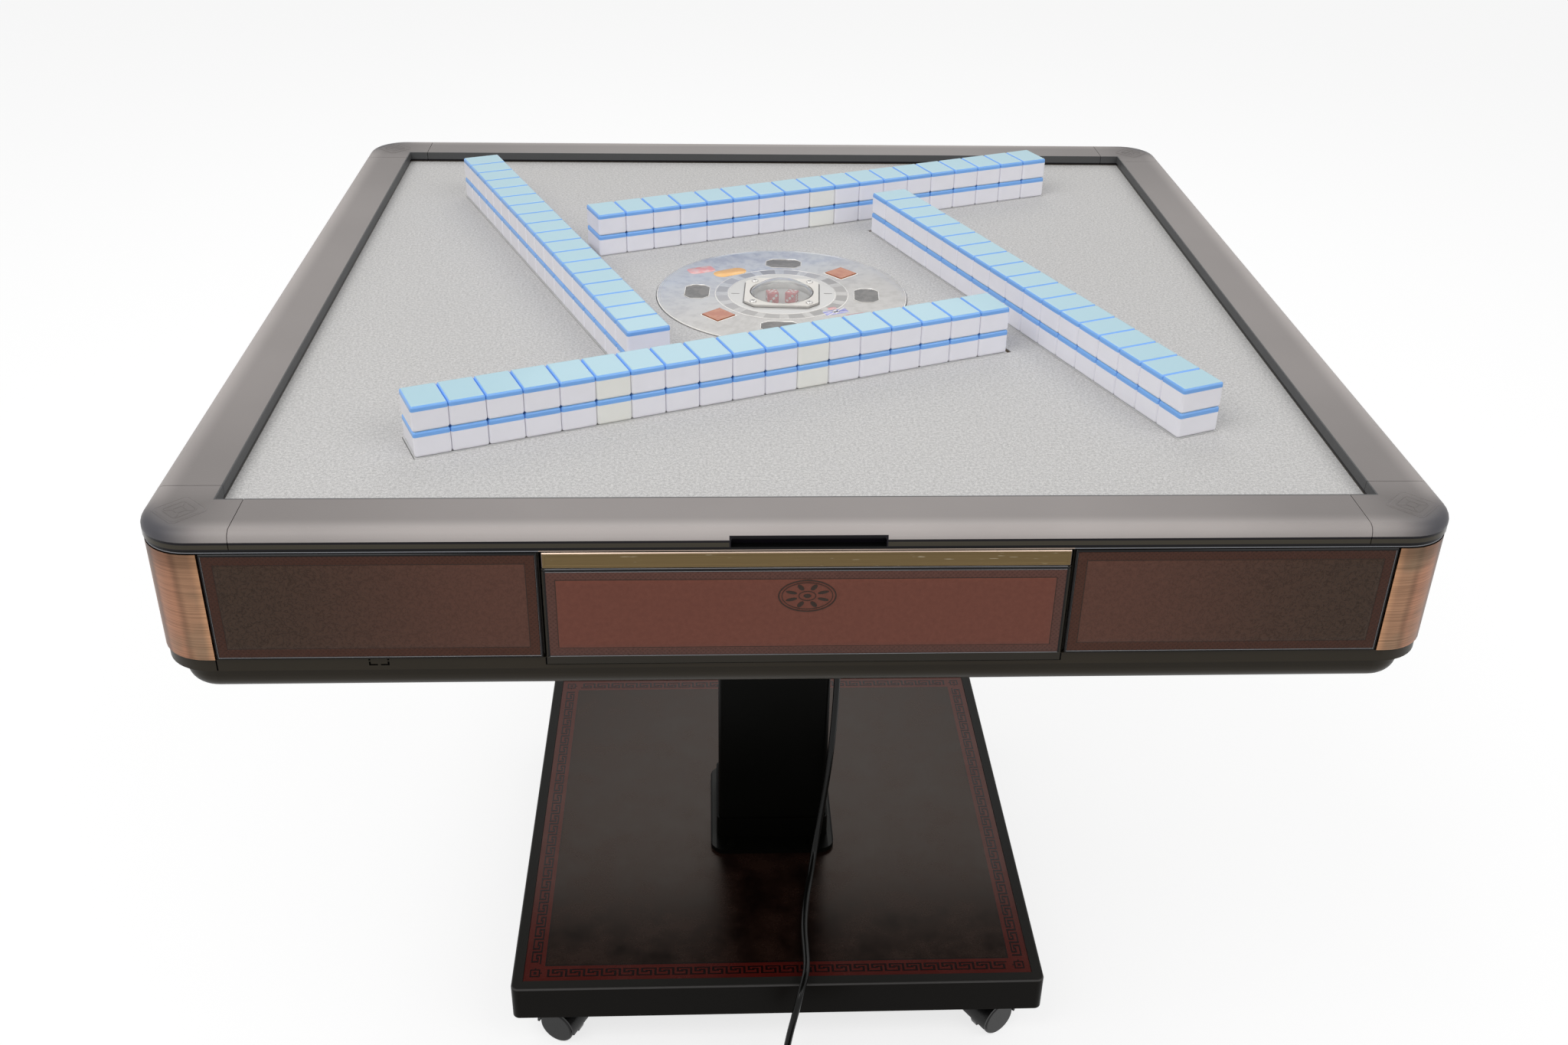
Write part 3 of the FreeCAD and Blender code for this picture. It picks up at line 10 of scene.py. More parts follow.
import bmesh
import bpy
from mathutils import Matrix, Vector

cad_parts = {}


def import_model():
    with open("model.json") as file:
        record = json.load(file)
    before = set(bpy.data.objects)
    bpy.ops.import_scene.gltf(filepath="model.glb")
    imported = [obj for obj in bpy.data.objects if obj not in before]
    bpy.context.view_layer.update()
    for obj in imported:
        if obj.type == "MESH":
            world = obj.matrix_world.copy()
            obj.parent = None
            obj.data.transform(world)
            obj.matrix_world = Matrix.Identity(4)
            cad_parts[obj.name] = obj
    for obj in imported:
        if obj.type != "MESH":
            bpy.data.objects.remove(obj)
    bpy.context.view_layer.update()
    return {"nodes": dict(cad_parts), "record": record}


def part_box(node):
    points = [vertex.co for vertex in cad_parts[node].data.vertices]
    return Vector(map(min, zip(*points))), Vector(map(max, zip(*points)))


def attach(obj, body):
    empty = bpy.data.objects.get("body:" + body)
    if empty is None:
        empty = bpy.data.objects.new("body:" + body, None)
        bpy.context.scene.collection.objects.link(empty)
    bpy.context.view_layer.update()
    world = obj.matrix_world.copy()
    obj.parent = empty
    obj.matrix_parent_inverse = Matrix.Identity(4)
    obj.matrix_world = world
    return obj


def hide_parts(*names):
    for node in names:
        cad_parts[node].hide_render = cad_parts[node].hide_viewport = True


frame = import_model()
scene = bpy.context.scene

MM = 0.001
SIDES = ("front", "right", "back", "left")
CORNERS = [(sx, sy) for sx in (-1, 1) for sy in (-1, 1)]
ARC_CENTRE = 0.440  # centres of the top's corner arcs, in metres from its middle lines
BASE_SHIFT = 40.0  # the base's middle lies this far behind the table's


# ------------------------------------------------------------------ camera
CAMERA_PLACE = (-0.06898, -1.44016, 1.34812)
CAMERA_ANGLES = (29.843, 3.023, 1.229)  # pitch down, yaw to the right and roll, in degrees
LENS, SENSOR = 35.880, 36.0


def make_camera():
    """The photograph's view: above the table's front edge, a little to its left."""
    pitch, yaw, roll = (math.radians(a) for a in CAMERA_ANGLES)
    forward = Vector((math.sin(yaw) * math.cos(pitch), math.cos(yaw) * math.cos(pitch), -math.sin(pitch)))
    level = Vector((math.cos(yaw), -math.sin(yaw), 0.0))
    upright = level.cross(forward)
    right = math.cos(roll) * level + math.sin(roll) * upright
    up = -math.sin(roll) * level + math.cos(roll) * upright
    data = bpy.data.cameras.new("camera")
    data.lens, data.sensor_width = LENS, SENSOR
    data.clip_start, data.clip_end = 0.05, 100.0
    camera = bpy.data.objects.new("camera", data)
    turned = Matrix((right, up, -forward)).transposed().to_4x4()
    camera.matrix_world = Matrix.Translation(CAMERA_PLACE) @ turned
    scene.collection.objects.link(camera)
    scene.camera = camera


make_camera()


# ---------------------------------------------------------------- finishes
class Finish:
    """A procedural material, built round its Principled shader."""

    def __init__(self, name, colour, rough, metal=0.0, specular=0.5, coat=0.0, coat_rough=0.1):
        self.material = bpy.data.materials.new(name)
        self.material.use_nodes = True
        self.tree = self.material.node_tree
        self.shader = self.tree.nodes["Principled BSDF"]
        self.put("Base Color", colour)
        self.put("Roughness", rough)
        self.put("Metallic", metal)
        self.put("Specular IOR Level", specular)
        if coat:
            self.put("Coat Weight", coat)
            self.put("Coat Roughness", coat_rough)
        self._place = None
        self._axes = None

    def feed(self, socket, value):
        if isinstance(value, bpy.types.NodeSocket):
            self.tree.links.new(value, socket)
        elif value is not None:
            if socket.type == "RGBA" and len(value) == 3:
                value = (*value, 1.0)
            socket.default_value = value

    def put(self, name, value):
        self.feed(self.shader.inputs[name], value)

    def add(self, kind, *values, out=0, **settings):
        made = self.tree.nodes.new("ShaderNode" + kind)
        for key, value in settings.items():
            setattr(made, key, value)
        for socket, value in zip(made.inputs, values):
            self.feed(socket, value)
        return made.outputs[out]

    def math(self, operation, *values):
        return self.add("Math", *values, operation=operation)

    def plus(self, first, second):
        return self.math("ADD", first, second)

    def minus(self, first, second):
        return self.math("SUBTRACT", first, second)

    def times(self, first, second):
        return self.math("MULTIPLY", first, second)

    def step(self, value, low, high, to_low=0.0, to_high=1.0):
        """Smoothly from to_low at low to to_high at high."""
        return self.add("MapRange", value, low, high, to_low, to_high, interpolation_type="SMOOTHSTEP")

    def between(self, value, start, full, fading, end):
        """1 from full to fading, and smoothly down to 0 at start and at end."""
        return self.times(self.step(value, start, full), self.step(value, end, fading))

    def mix(self, factor, first, second):
        made = self.tree.nodes.new("ShaderNodeMix")
        made.data_type = "RGBA"
        for index, value in ((0, factor), (6, first), (7, second)):
            self.feed(made.inputs[index], value)
        return made.outputs[2]

    def shade(self, colour, value, low, high):
        """The colour, made darker or lighter: times low where value is 0 and high where it is 1."""
        factor = self.add("MapRange", value, 0.0, 1.0, low, high)
        return self.add("VectorMath", colour, self.add("CombineXYZ", factor, factor, factor),
                        operation="MULTIPLY")

    @property
    def place(self):
        if self._place is None:
            self._place = self.add("TexCoord", out="Object")
        return self._place

    @property
    def axes(self):
        if self._axes is None:
            made = self.tree.nodes.new("ShaderNodeSeparateXYZ")
            self.feed(made.inputs[0], self.place)
            self._axes = tuple(made.outputs)
        return self._axes

    @property
    def spans(self):
        """Distances from the table's two upright middle planes: |x| and |y|."""
        x, y, _ = self.axes
        return self.math("ABSOLUTE", x), self.math("ABSOLUTE", y)

    def noise(self, scale, detail=2.0, rough=0.5, stretch=None, where=None):
        vector = self.place if where is None else where
        if stretch:
            vector = self.add("VectorMath", vector, stretch, operation="MULTIPLY")
        return self.add("TexNoise", vector, None, scale, detail, rough)

    def cells(self, scale):
        return self.add("TexVoronoi", self.place, None, scale)

    def bump(self, height, distance, strength=1.0):
        made = self.tree.nodes.new("ShaderNodeBump")
        self.feed(made.inputs["Height"], height)
        made.inputs["Distance"].default_value = distance
        made.inputs["Strength"].default_value = strength
        self.put("Normal", made.outputs[0])


PAINT_GRAIN = (900.0, 2.0, 0.6)  # scale, detail and roughness of the noise


def plain_finish(name, colour, rough, metal=0.0, specular=0.5, depth=0.00006):
    """A moulded or painted surface: fine grain, and slow changes of tone and gloss."""
    made = Finish(name, colour, rough, metal, specular)
    slow = made.noise(14.0, 3.0)
    made.put("Base Color", made.shade(colour, slow, 0.88, 1.12))
    made.put("Roughness", made.add("MapRange", slow, 0.2, 0.8, rough * 0.9, rough * 1.12))
    made.bump(made.noise(*PAINT_GRAIN), depth)
    return made


def rim_finish():
    """Grey moulding with a fine leather grain, darker towards the corners by painted shade, over a lip in black
    and olive.
    """
    tone = (0.29, 0.265, 0.255)
    made = Finish("rim_moulding", tone, 0.42, specular=0.15)
    z = made.axes[2]
    wide, deep = made.spans
    far, near = made.math("MAXIMUM", wide, deep), made.math("MINIMUM", wide, deep)
    # how far a point lies outside the square through the centres of the corner arcs
    beyond = made.add("CombineXYZ", made.math("MAXIMUM", made.minus(wide, ARC_CENTRE), 0.0),
                      made.math("MAXIMUM", made.minus(deep, ARC_CENTRE), 0.0), 0.0)
    beyond = made.add("VectorMath", beyond, operation="LENGTH", out=1)
    lip = made.step(z, 0.7822, 0.7818)
    # the finger recess in the middle of each rail
    pocket = made.times(made.step(near, 0.0572, 0.0568), made.step(z, 0.7856, 0.7852))
    pocket = made.times(pocket, made.step(far, 0.4715, 0.4720))
    inside = made.step(far, 0.4316, 0.4308)
    black = made.math("MAXIMUM", lip, pocket)
    slow = made.noise(9.0, 3.0)
    grey = made.shade(tone, slow, 0.9, 1.1)
    # painted shade: the rails grow darker towards the corners
    grey = made.shade(grey, made.step(near, 0.20, 0.41), 1.0, 0.82)
    grey = made.shade(grey, made.step(near, 0.405, 0.455), 1.0, 0.68)
    # painted highlight: a lighter band along the outer rounding
    edge = made.step(beyond, 0.019, 0.037)
    grey = made.shade(grey, edge, 1.0, 1.6)
    # painted reflection: a dark bluish band on the rounding by the corners
    corner = made.times(edge, made.step(near, 0.425, 0.462, 0.0, 0.85))
    grey = made.mix(corner, grey, (0.060, 0.062, 0.075))
    grey = made.mix(inside, grey, (0.088, 0.089, 0.090))
    under = made.mix(made.between(z, 0.7763, 0.7767, 0.7799, 0.7803),
                     (0.008, 0.0065, 0.009), (0.050, 0.043, 0.030))
    under = made.mix(pocket, under, (0.008, 0.0065, 0.010))
    made.put("Base Color", made.mix(black, grey, under))
    made.put("Roughness", made.minus(made.add("MapRange", slow, 0.0, 1.0, 0.38, 0.46), made.times(black, 0.22)))
    grain = made.plus(made.cells(850.0), made.noise(1500.0, 2.0))
    made.bump(made.times(grain, made.minus(1.0, black)), 0.00007, 0.6)
    return made


def case_finish():
    """Satin black-brown paint; the flange under the rim is black, with a painted highlight line along its lower
    edge.
    """
    paint = (0.028, 0.022, 0.014)
    made = Finish("case_paint", paint, 0.36, specular=0.14)
    z = made.axes[2]
    near = made.math("MINIMUM", *made.spans)
    tone = made.shade(paint, made.noise(14.0, 3.0), 0.88, 1.12)
    tone = made.mix(made.step(z, 0.7722, 0.7724), tone, (0.004, 0.004, 0.004))
    # painted highlight along the flange's lower edge, pinkish over the drawers
    line = made.between(z, 0.7727, 0.7730, 0.7734, 0.7738)
    bright = made.mix(made.step(near, 0.1935, 0.1925), (0.24, 0.245, 0.265), (0.50, 0.39, 0.32))
    made.put("Base Color", made.mix(line, tone, bright))
    made.bump(made.noise(*PAINT_GRAIN), 0.00003)
    return made


def frame_finish():
    """Black base frame, a shade lighter along its top by painted light, with a painted highlight line on its
    rounded edge.
    """
    made = Finish("frame_paint", (0.006, 0.005, 0.004), 0.30, specular=0.06)
    z = made.axes[2]
    # painted light: the top face lighter than the sides
    tone = made.mix(made.step(z, 0.0915, 0.0930), (0.005, 0.004, 0.003), (0.024, 0.023, 0.021))
    # painted highlight along the rounded top edge
    tone = made.mix(made.between(z, 0.0915, 0.0925, 0.0932, 0.0940), tone, (0.075, 0.072, 0.070))
    made.put("Base Color", made.shade(tone, made.noise(14.0, 3.0), 0.88, 1.12))
    made.bump(made.noise(*PAINT_GRAIN), 0.00003)
    return made


def boot_finish():
    """The column's black, with a painted reflection in paler strips on the polished foot plate beside the
    sleeve.
    """
    black = (0.0028, 0.0028, 0.0022)
    made = Finish("boot_paint", black, 0.3, specular=0.06)
    x, _, z = made.axes
    # painted reflection: pale strips on the foot plate's top beside the sleeve
    strip = made.times(made.between(made.math("ABSOLUTE", x), 0.0656, 0.0660, 0.0704, 0.0710),
                       made.between(z, 0.0984, 0.0988, 0.0991, 0.0994))
    made.put("Base Color", made.mix(strip, black, (0.052, 0.052, 0.048)))
    made.bump(made.noise(*PAINT_GRAIN), 0.00003)
    return made


def felt_finish():
    made = Finish("speckled_felt", (0.60, 0.59, 0.58), 0.95, specular=0.15)
    fine = made.noise(1200.0, 3.0, 0.7)
    flecks = made.noise(430.0, 2.0, 0.6)
    tone = made.plus(made.times(fine, 0.6), made.times(flecks, 0.4))
    base = made.shade((0.605, 0.595, 0.585), made.step(tone, 0.36, 0.64), 0.76, 1.2)
    made.put("Base Color", made.mix(made.step(made.noise(3.0, 2.0), 0.3, 0.7, 0.0, 0.5), base,
                                    made.shade(base, 0.5, 0.95, 1.0)))
    made.put("Sheen Weight", 0.15)
    made.bump(tone, 0.0004, 0.5)
    return made


TILE_LOW, TILE_THICK, TILE_WIDE = 0.779, 0.022, 0.030
WALL_TURN = 22.4
STACK_SHIFT = 0.410  # makes the number of a stack along its wall 0 or more
WARM_STACKS = ((5.0, 11.0), (), (9.0,), ())


def tile_finish(turn):
    """White body with a blue back, the upper fifth of each tile. A few stacks are a shade warmer."""
    made = Finish("tile_wall_%d" % turn, (0.8, 0.8, 0.84), 0.22, specular=0.5, coat=0.3, coat_rough=0.08)
    x, y, z = made.axes
    layer = made.math("FLOORED_MODULO", made.minus(z, TILE_LOW), TILE_THICK)
    angle = math.radians(WALL_TURN) + turn * math.pi / 2.0
    along = made.plus(made.times(x, math.cos(angle)), made.times(y, math.sin(angle)))
    index = made.math("FLOOR", made.math("DIVIDE", made.plus(along, STACK_SHIFT), TILE_WIDE))
    chance = made.add("TexWhiteNoise", None, made.plus(index, 37.0 * turn + 0.5), noise_dimensions="1D")
    body = (0.94, 0.93, 0.99)
    for warm in WARM_STACKS[turn]:
        body = made.mix(made.math("COMPARE", index, warm, 0.5), body, (0.94, 0.94, 0.89))
    body = made.shade(body, made.noise(60.0, 2.0), 0.97, 1.03)
    back = made.step(layer, 0.0172, 0.0176)
    face = made.step(layer, 0.02162, 0.02178)
    colour = made.mix(back, body, made.shade((0.20, 0.46, 0.94), chance, 0.96, 1.04))
    made.put("Base Color", made.mix(face, colour, (0.42, 0.65, 0.74)))
    made.put("Roughness", made.plus(0.22, made.times(face, 0.2)))
    made.put("Subsurface Weight", 0.05)
    made.put("Subsurface Radius", (0.004, 0.004, 0.005))
    made.bump(made.times(face, made.noise(1800.0, 1.0)), 0.00003, 0.6)
    return made


LATTICE = 2 * math.pi / 0.0036  # one stamped cell every 3.6 mm


def leather_finish(name, colour, wrinkles, far_colour=None, tooled=False):
    """Coated leather: short wrinkles over a pebble grain, stronger towards the corners.

    far_colour is the tone by the corners; tooled stamps a fine lattice.
    """
    made = Finish(name, colour, 0.5, specular=0.16)
    x, y, z = made.axes
    along = made.math("MINIMUM", *made.spans)
    toned = made.mix(made.step(along, 0.19, 0.43), colour, far_colour or colour)
    warped = made.add("VectorMath", made.place,
                      made.add("VectorMath", made.add("TexNoise", made.place, None, 90.0, 2.0, out=1),
                               (0.008, 0.008, 0.008), operation="MULTIPLY"), operation="ADD")
    ridge = made.math("ABSOLUTE", made.minus(made.noise(300.0, 2.0, 0.55, where=warped), 0.5))
    depth = made.times(made.step(along, 0.20, 0.42, 0.4, 1.0), wrinkles)
    creases = made.times(made.step(ridge, 0.075, 0.0), depth)
    folds = made.minus(1.0, creases)
    pebble = made.cells(900.0)
    height = made.plus(made.times(folds, 0.8), made.times(pebble, 0.35))
    if tooled:
        wave = made.times(made.math("SINE", made.times(made.plus(x, y), LATTICE)),
                          made.math("SINE", made.times(z, LATTICE)))
        stamped = made.step(wave, 0.1, 0.4)
        height = made.plus(made.times(height, 0.5), stamped)
        toned = made.shade(toned, stamped, 1.08, 0.86)
    # painted shade: darker in the wrinkles' creases
    toned = made.shade(toned, folds, 0.66, 1.04)
    made.put("Base Color", made.shade(toned, made.noise(240.0, 3.0, 0.65), 0.76, 1.18))
    made.put("Roughness", made.add("MapRange", folds, 0.0, 1.0, 0.6, 0.46))
    made.bump(height, 0.00030, 0.7)
    return made


def copper_finish():
    """Antique copper, brushed along the trim, with painted shade in darker upright bands round the corner and
    along its top.
    """
    copper, tan, painted_shade = (0.36, 0.18, 0.11), (0.32, 0.18, 0.11), (0.12, 0.06, 0.04)
    made = Finish("brushed_copper", copper, 0.32, metal=1.0)
    wide, deep = made.spans
    # the angle round the corner's arc, in degrees, made uneven
    bend = made.math("ARCTAN2", made.minus(wide, ARC_CENTRE), made.minus(deep, ARC_CENTRE))
    uneven = made.times(made.minus(made.noise(16.0, 2.0), 0.5), 10.0)
    bend = made.plus(made.times(bend, 180.0 / math.pi), uneven)
    round_corner = made.between(bend, 14.0, 24.0, 74.0, 82.0)
    streak = made.times(made.step(bend, 10.0, 17.0, 0.0, 0.55), made.step(bend, 25.0, 17.0))
    shadow = made.between(bend, 42.0, 52.0, 58.0, 66.0)
    tone = made.mix(round_corner, tan, copper)
    # painted shade: the streak and shadow bands round the corner
    tone = made.mix(made.times(made.math("MAXIMUM", streak, shadow), 0.75), tone, painted_shade)
    tone = made.mix(made.step(made.noise(26.0, 3.0), 0.48, 0.72, 0.0, 0.6), tone, (0.20, 0.15, 0.10))
    tone = made.mix(made.step(bend, 1.0, -9.0), tone, (0.46, 0.25, 0.14))
    # painted shade: darker towards the top, under the rim
    tone = made.shade(tone, made.step(made.axes[2], 0.748, 0.771), 1.0, 0.6)
    lines = made.noise(110.0, 4.0, 0.75, (0.1, 0.1, 9.0))
    made.put("Base Color", made.shade(tone, made.step(lines, 0.3, 0.7), 0.70, 1.28))
    made.put("Roughness", made.add("MapRange", lines, 0.2, 0.8, 0.28, 0.42))
    made.put("Anisotropic", 0.6)
    made.bump(lines, 0.00005, 0.6)
    return made


def brass_finish():
    made = Finish("brushed_brass", (0.15, 0.105, 0.05), 0.36, metal=1.0)
    lines = made.noise(260.0, 4.0, 0.7, (0.1, 0.1, 8.0))
    marks = made.step(made.noise(420.0, 2.0, 0.5, (0.16, 0.16, 2.0)), 0.69, 0.74)
    tone = made.shade((0.15, 0.105, 0.05), lines, 0.75, 1.25)
    made.put("Base Color", made.mix(made.times(marks, 0.7), tone, (0.40, 0.34, 0.24)))
    made.bump(lines, 0.00003, 0.4)
    return made


def board_finish():
    """Polished dark laminate: mottled red-brown, with a red band inside the frame."""
    made = Finish("base_laminate", (0.02, 0.008, 0.006), 0.24, specular=0.28)
    made.put("Specular Tint", (1.0, 0.78, 0.64))
    x, y, _ = made.axes
    edge = made.math("MAXIMUM", made.math("ABSOLUTE", x),
                     made.math("ABSOLUTE", made.minus(y, BASE_SHIFT * MM)))
    band = made.step(edge, 0.2508, 0.2514)
    line = made.between(edge, 0.2490, 0.2494, 0.2508, 0.2512)
    mottle = made.noise(22.0, 5.0, 0.62)
    ground = made.mix(made.step(mottle, 0.26, 0.76), (0.004, 0.0018, 0.0015), (0.024, 0.011, 0.0075))
    red = made.shade((0.08, 0.008, 0.006), made.noise(30.0, 3.0), 0.8, 1.2)
    made.put("Base Color", made.mix(line, made.mix(band, ground, red), (0.006, 0.004, 0.004)))
    made.put("Roughness", made.add("MapRange", mottle, 0.3, 0.7, 0.2, 0.3))
    made.bump(made.noise(90.0, 3.0, 0.6), 0.00003, 0.2)
    return made


def disc_finish():
    """Silver-grey printed plastic: brushed cloudy streaks, and a ring of darker blocks."""
    made = Finish("disc_print", (0.5, 0.49, 0.485), 0.28, specular=0.5, coat=0.5, coat_rough=0.08)
    x, y, _ = made.axes
    radius = made.add("VectorMath", made.add("CombineXYZ", x, y, 0.0), operation="LENGTH", out=1)
    angle = made.math("ARCTAN2", y, x)
    polar = made.add("CombineXYZ", made.times(angle, 2.0), made.times(radius, 14.0), 0.0)
    streaks = made.add("TexNoise", polar, None, 5.0, 4.0, 0.62)
    clouds = made.noise(26.0, 3.0, 0.6)
    cool = made.step(made.minus(y, made.times(x, 0.6)), -0.05, 0.12)
    pale = made.mix(cool, (0.46, 0.44, 0.415), (0.46, 0.49, 0.54))
    dark = made.mix(cool, (0.37, 0.35, 0.325), (0.32, 0.35, 0.44))
    cloudy = made.plus(made.times(streaks, 0.65), made.times(clouds, 0.35))
    field = made.mix(made.step(cloudy, 0.42, 0.62), pale, dark)
    part = made.times(angle, 8.0 / math.pi)
    off_middle = made.math("ABSOLUTE", made.minus(made.math("FRACT", part), 0.5))
    block = made.math("LESS_THAN", off_middle, 0.31)
    shade = made.add("TexWhiteNoise", None, made.math("FLOOR", part), noise_dimensions="1D")
    blocks = made.shade(made.mix(cool, (0.22, 0.205, 0.19), (0.15, 0.165, 0.22)), shade, 0.8, 1.5)
    ring = made.between(radius, 0.0535, 0.0540, 0.0640, 0.0645)
    field = made.mix(made.times(ring, made.times(block, 0.95)), field, blocks)
    made.put("Base Color", made.mix(made.step(radius, 0.0530, 0.0525), field, (0.56, 0.55, 0.53)))
    made.bump(streaks, 0.00004, 0.4)
    return made


def wood_finish():
    made = Finish("fibreboard", (0.45, 0.36, 0.26), 0.8, specular=0.2)
    fibres = made.noise(420.0, 4.0, 0.7, (1.0, 1.0, 0.3))
    made.put("Base Color", made.shade((0.45, 0.36, 0.26), fibres, 0.75, 1.2))
    made.bump(fibres, 0.0002, 0.5)
    return made


def clear_finish():
    made = Finish("clear_dome", (0.90, 0.90, 0.89), 0.03, specular=0.5)
    made.put("Transmission Weight", 0.84)
    made.put("IOR", 1.25)
    made.put("Roughness", made.add("MapRange", made.noise(80.0, 2.0), 0.4, 0.7, 0.02, 0.05))
    return made


def two_tone(name, colour, other, scale, rough, specular=0.5, coat=0.0):
    """Smooth plastic or print, clouded with a second colour."""
    made = Finish(name, colour, rough, specular=specular, coat=coat)
    made.put("Base Color", made.mix(made.step(made.noise(scale, 3.0, 0.6), 0.4, 0.6), colour, other))
    made.bump(made.noise(1400.0, 1.0), 0.00004, 0.4)
    return made


BLACK = plain_finish("bar_black", (0.026, 0.022, 0.016), 0.30, specular=0.14, depth=0.00002)
GLOSS = plain_finish("gloss_black", (0.008, 0.007, 0.007), 0.16, specular=0.18, depth=0.00001)
# black lines: seams and a latch, and painted shadow in the gap round each drawer's bar
INK_AND_SHADOW = plain_finish("black_lines_and_painted_shadow", (0.0015, 0.0015, 0.0015), 0.7, specular=0.0, depth=0.00001)
# painted highlight: light lines along the edges of the panel frames and the drawer bars
LINE_HIGHLIGHT = plain_finish("painted_edge_highlight", (0.24, 0.24, 0.25), 0.3, specular=0.3, depth=0.00001)
COLUMN = plain_finish("column_paint", (0.0028, 0.0028, 0.0022), 0.34, specular=0.06, depth=0.00003)
FRAME = frame_finish()
CASTER = plain_finish("caster_nylon", (0.008, 0.008, 0.008), 0.22, specular=0.3, depth=0.00003)
RUBBER = plain_finish("cord_rubber", (0.005, 0.005, 0.0045), 0.2, specular=0.22, depth=0.00003)
STEEL = plain_finish("zinc_steel", (0.56, 0.55, 0.53), 0.3, metal=1.0, depth=0.00003)
RIM, FELT, COPPER, BRASS = rim_finish(), felt_finish(), copper_finish(), brass_finish()
# painted highlight on the bevelled edge of the drawers' brass strips
BRASS_HIGHLIGHT = plain_finish("painted_brass_highlight", (0.60, 0.46, 0.36), 0.3, metal=0.6, depth=0.00001)
PANEL = leather_finish("panel_leather", (0.108, 0.046, 0.032), 1.0, (0.055, 0.032, 0.021))
PANEL_BORDER = leather_finish("panel_border", (0.064, 0.024, 0.0145), 0.3, (0.054, 0.021, 0.013), tooled=True)
DRAWER = leather_finish("drawer_leather", (0.157, 0.054, 0.037), 0.2)
DRAWER_BORDER = leather_finish("drawer_border", (0.097, 0.043, 0.033), 0.25, tooled=True)
STAMP = leather_finish("stamped_leather", (0.040, 0.026, 0.020), 0.2)
SILVER = plain_finish("bright_trim", (0.72, 0.70, 0.66), 0.24, metal=0.6, depth=0.00002)
BEZEL = plain_finish("bezel_plastic", (0.70, 0.67, 0.62), 0.28, metal=0.15, depth=0.00002)
KEY = plain_finish("key_print", (0.010, 0.003, 0.003), 0.24, specular=0.2, depth=0.00002)
WINDOW = two_tone("smoked_window", (0.125, 0.12, 0.115), (0.18, 0.17, 0.16), 120.0, 0.3, specular=0.3)
BUTTON = two_tone("clear_brown", (0.45, 0.13, 0.055), (0.52, 0.19, 0.09), 60.0, 0.24, specular=0.3, coat=0.15)
DICE = two_tone("dice_red", (0.62, 0.03, 0.04), (0.72, 0.05, 0.06), 200.0, 0.18, coat=0.5)
PIP = plain_finish("dice_white", (0.86, 0.85, 0.83), 0.3)
ORANGE = two_tone("print_orange", (0.86, 0.41, 0.045), (0.91, 0.48, 0.09), 90.0, 0.3, coat=0.4)
PINK = two_tone("print_pink", (0.80, 0.26, 0.26), (0.74, 0.45, 0.44), 110.0, 0.3, coat=0.4)
BLUE = two_tone("print_blue", (0.22, 0.24, 0.66), (0.42, 0.40, 0.74), 160.0, 0.3, coat=0.4)
WHITE = plain_finish("print_white", (0.82, 0.81, 0.84), 0.3)

SLOT_FINISH = {
    "case_black": case_finish(), "rim_grey": RIM, "side_leather": PANEL, "corner_copper": COPPER,
    "board_wood": wood_finish(), "felt_grey": FELT, "steel": STEEL, "disc_plastic": disc_finish(),
    "machine_metal": plain_finish("machine_paint", (0.35, 0.36, 0.38), 0.42),
    "machine_plastic": plain_finish("machine_moulding", (0.62, 0.62, 0.61), 0.5, depth=0.0001),
    "motor_metal": plain_finish("motor_paint", (0.16, 0.16, 0.17), 0.38),
    "window_dark": WINDOW, "dome_clear": clear_finish(), "dice_red": DICE, "button_brown": BUTTON,
    "drawer_leather": DRAWER, "drawer_plastic": plain_finish("drawer_moulding", (0.05, 0.05, 0.054), 0.45),
    "column_black": COLUMN, "base_wood": board_finish(), "caster_black": CASTER, "cord_black": RUBBER,
}
NODE_FINISH = {"base_frame": FRAME, "dice_bezel": BEZEL, "column_boot": boot_finish(), "column_bolts": COLUMN,
               **{"tiles_" + side: tile_finish(turn) for turn, side in enumerate(SIDES)}}

for part in frame["record"]["subparts"]:
    node = frame["nodes"][part["node"]]
    finish = NODE_FINISH.get(part["node"]) or SLOT_FINISH[part["material_slot"]]
    for material_slot in node.material_slots:
        material_slot.material = finish.material


# ------------------------------------------------------------------ pieces
SHARP_ANGLE = 35.0
CUT_RATE = 0.586


def upright_side(turn, back=0.0):
    """From (along, up, out) on a side of the table to (x, y, z), in metres; turn 0 is the front.

    back moves it all along +Y.
    """
    c, s = round(math.cos(turn * math.pi / 2)), round(math.sin(turn * math.pi / 2))

    def to_world(along, up, out):
        return Vector(((along * c + out * s) * MM, (along * s - out * c + back) * MM, up * MM))
    return to_world


def level_at(x, y, z, turn=0.0):
    """From (u, v, up) on a level surface to (x, y, z), in metres, turned about the upright by degrees."""
    c, s = math.cos(math.radians(turn)), math.sin(math.radians(turn))

    def to_world(u, v, up):
        return Vector(((x + u * c - v * s) * MM, (y + u * s + v * c) * MM, (z + up) * MM))
    return to_world


def round_rect(half_u, half_v, radius, steps=4):
    """A closed outline, counter-clockwise, with rounded corners."""
    radius = max(min(radius, half_u, half_v), 0.02)
    outline = []
    for corner, (su, sv) in enumerate(((1, 1), (-1, 1), (-1, -1), (1, -1))):
        for i in range(steps + 1):
            a = math.radians(90 * (corner + i / steps))
            outline.append((su * (half_u - radius) + radius * math.cos(a),
                            sv * (half_v - radius) + radius * math.sin(a)))
    return outline


def oval(half_u, half_v, steps=40):
    return [(half_u * math.cos(2 * math.pi * i / steps), half_v * math.sin(2 * math.pi * i / steps))
            for i in range(steps)]


# Outline functions: each gives a closed outline for an inset.
def rounded(half_u, half_v, radius, steps=4):
    return lambda inset: round_rect(half_u - inset, half_v - inset, radius, steps)


def ellipse(half_u, half_v, steps=40):
    return lambda inset: oval(half_u - inset, half_v - inset, steps)


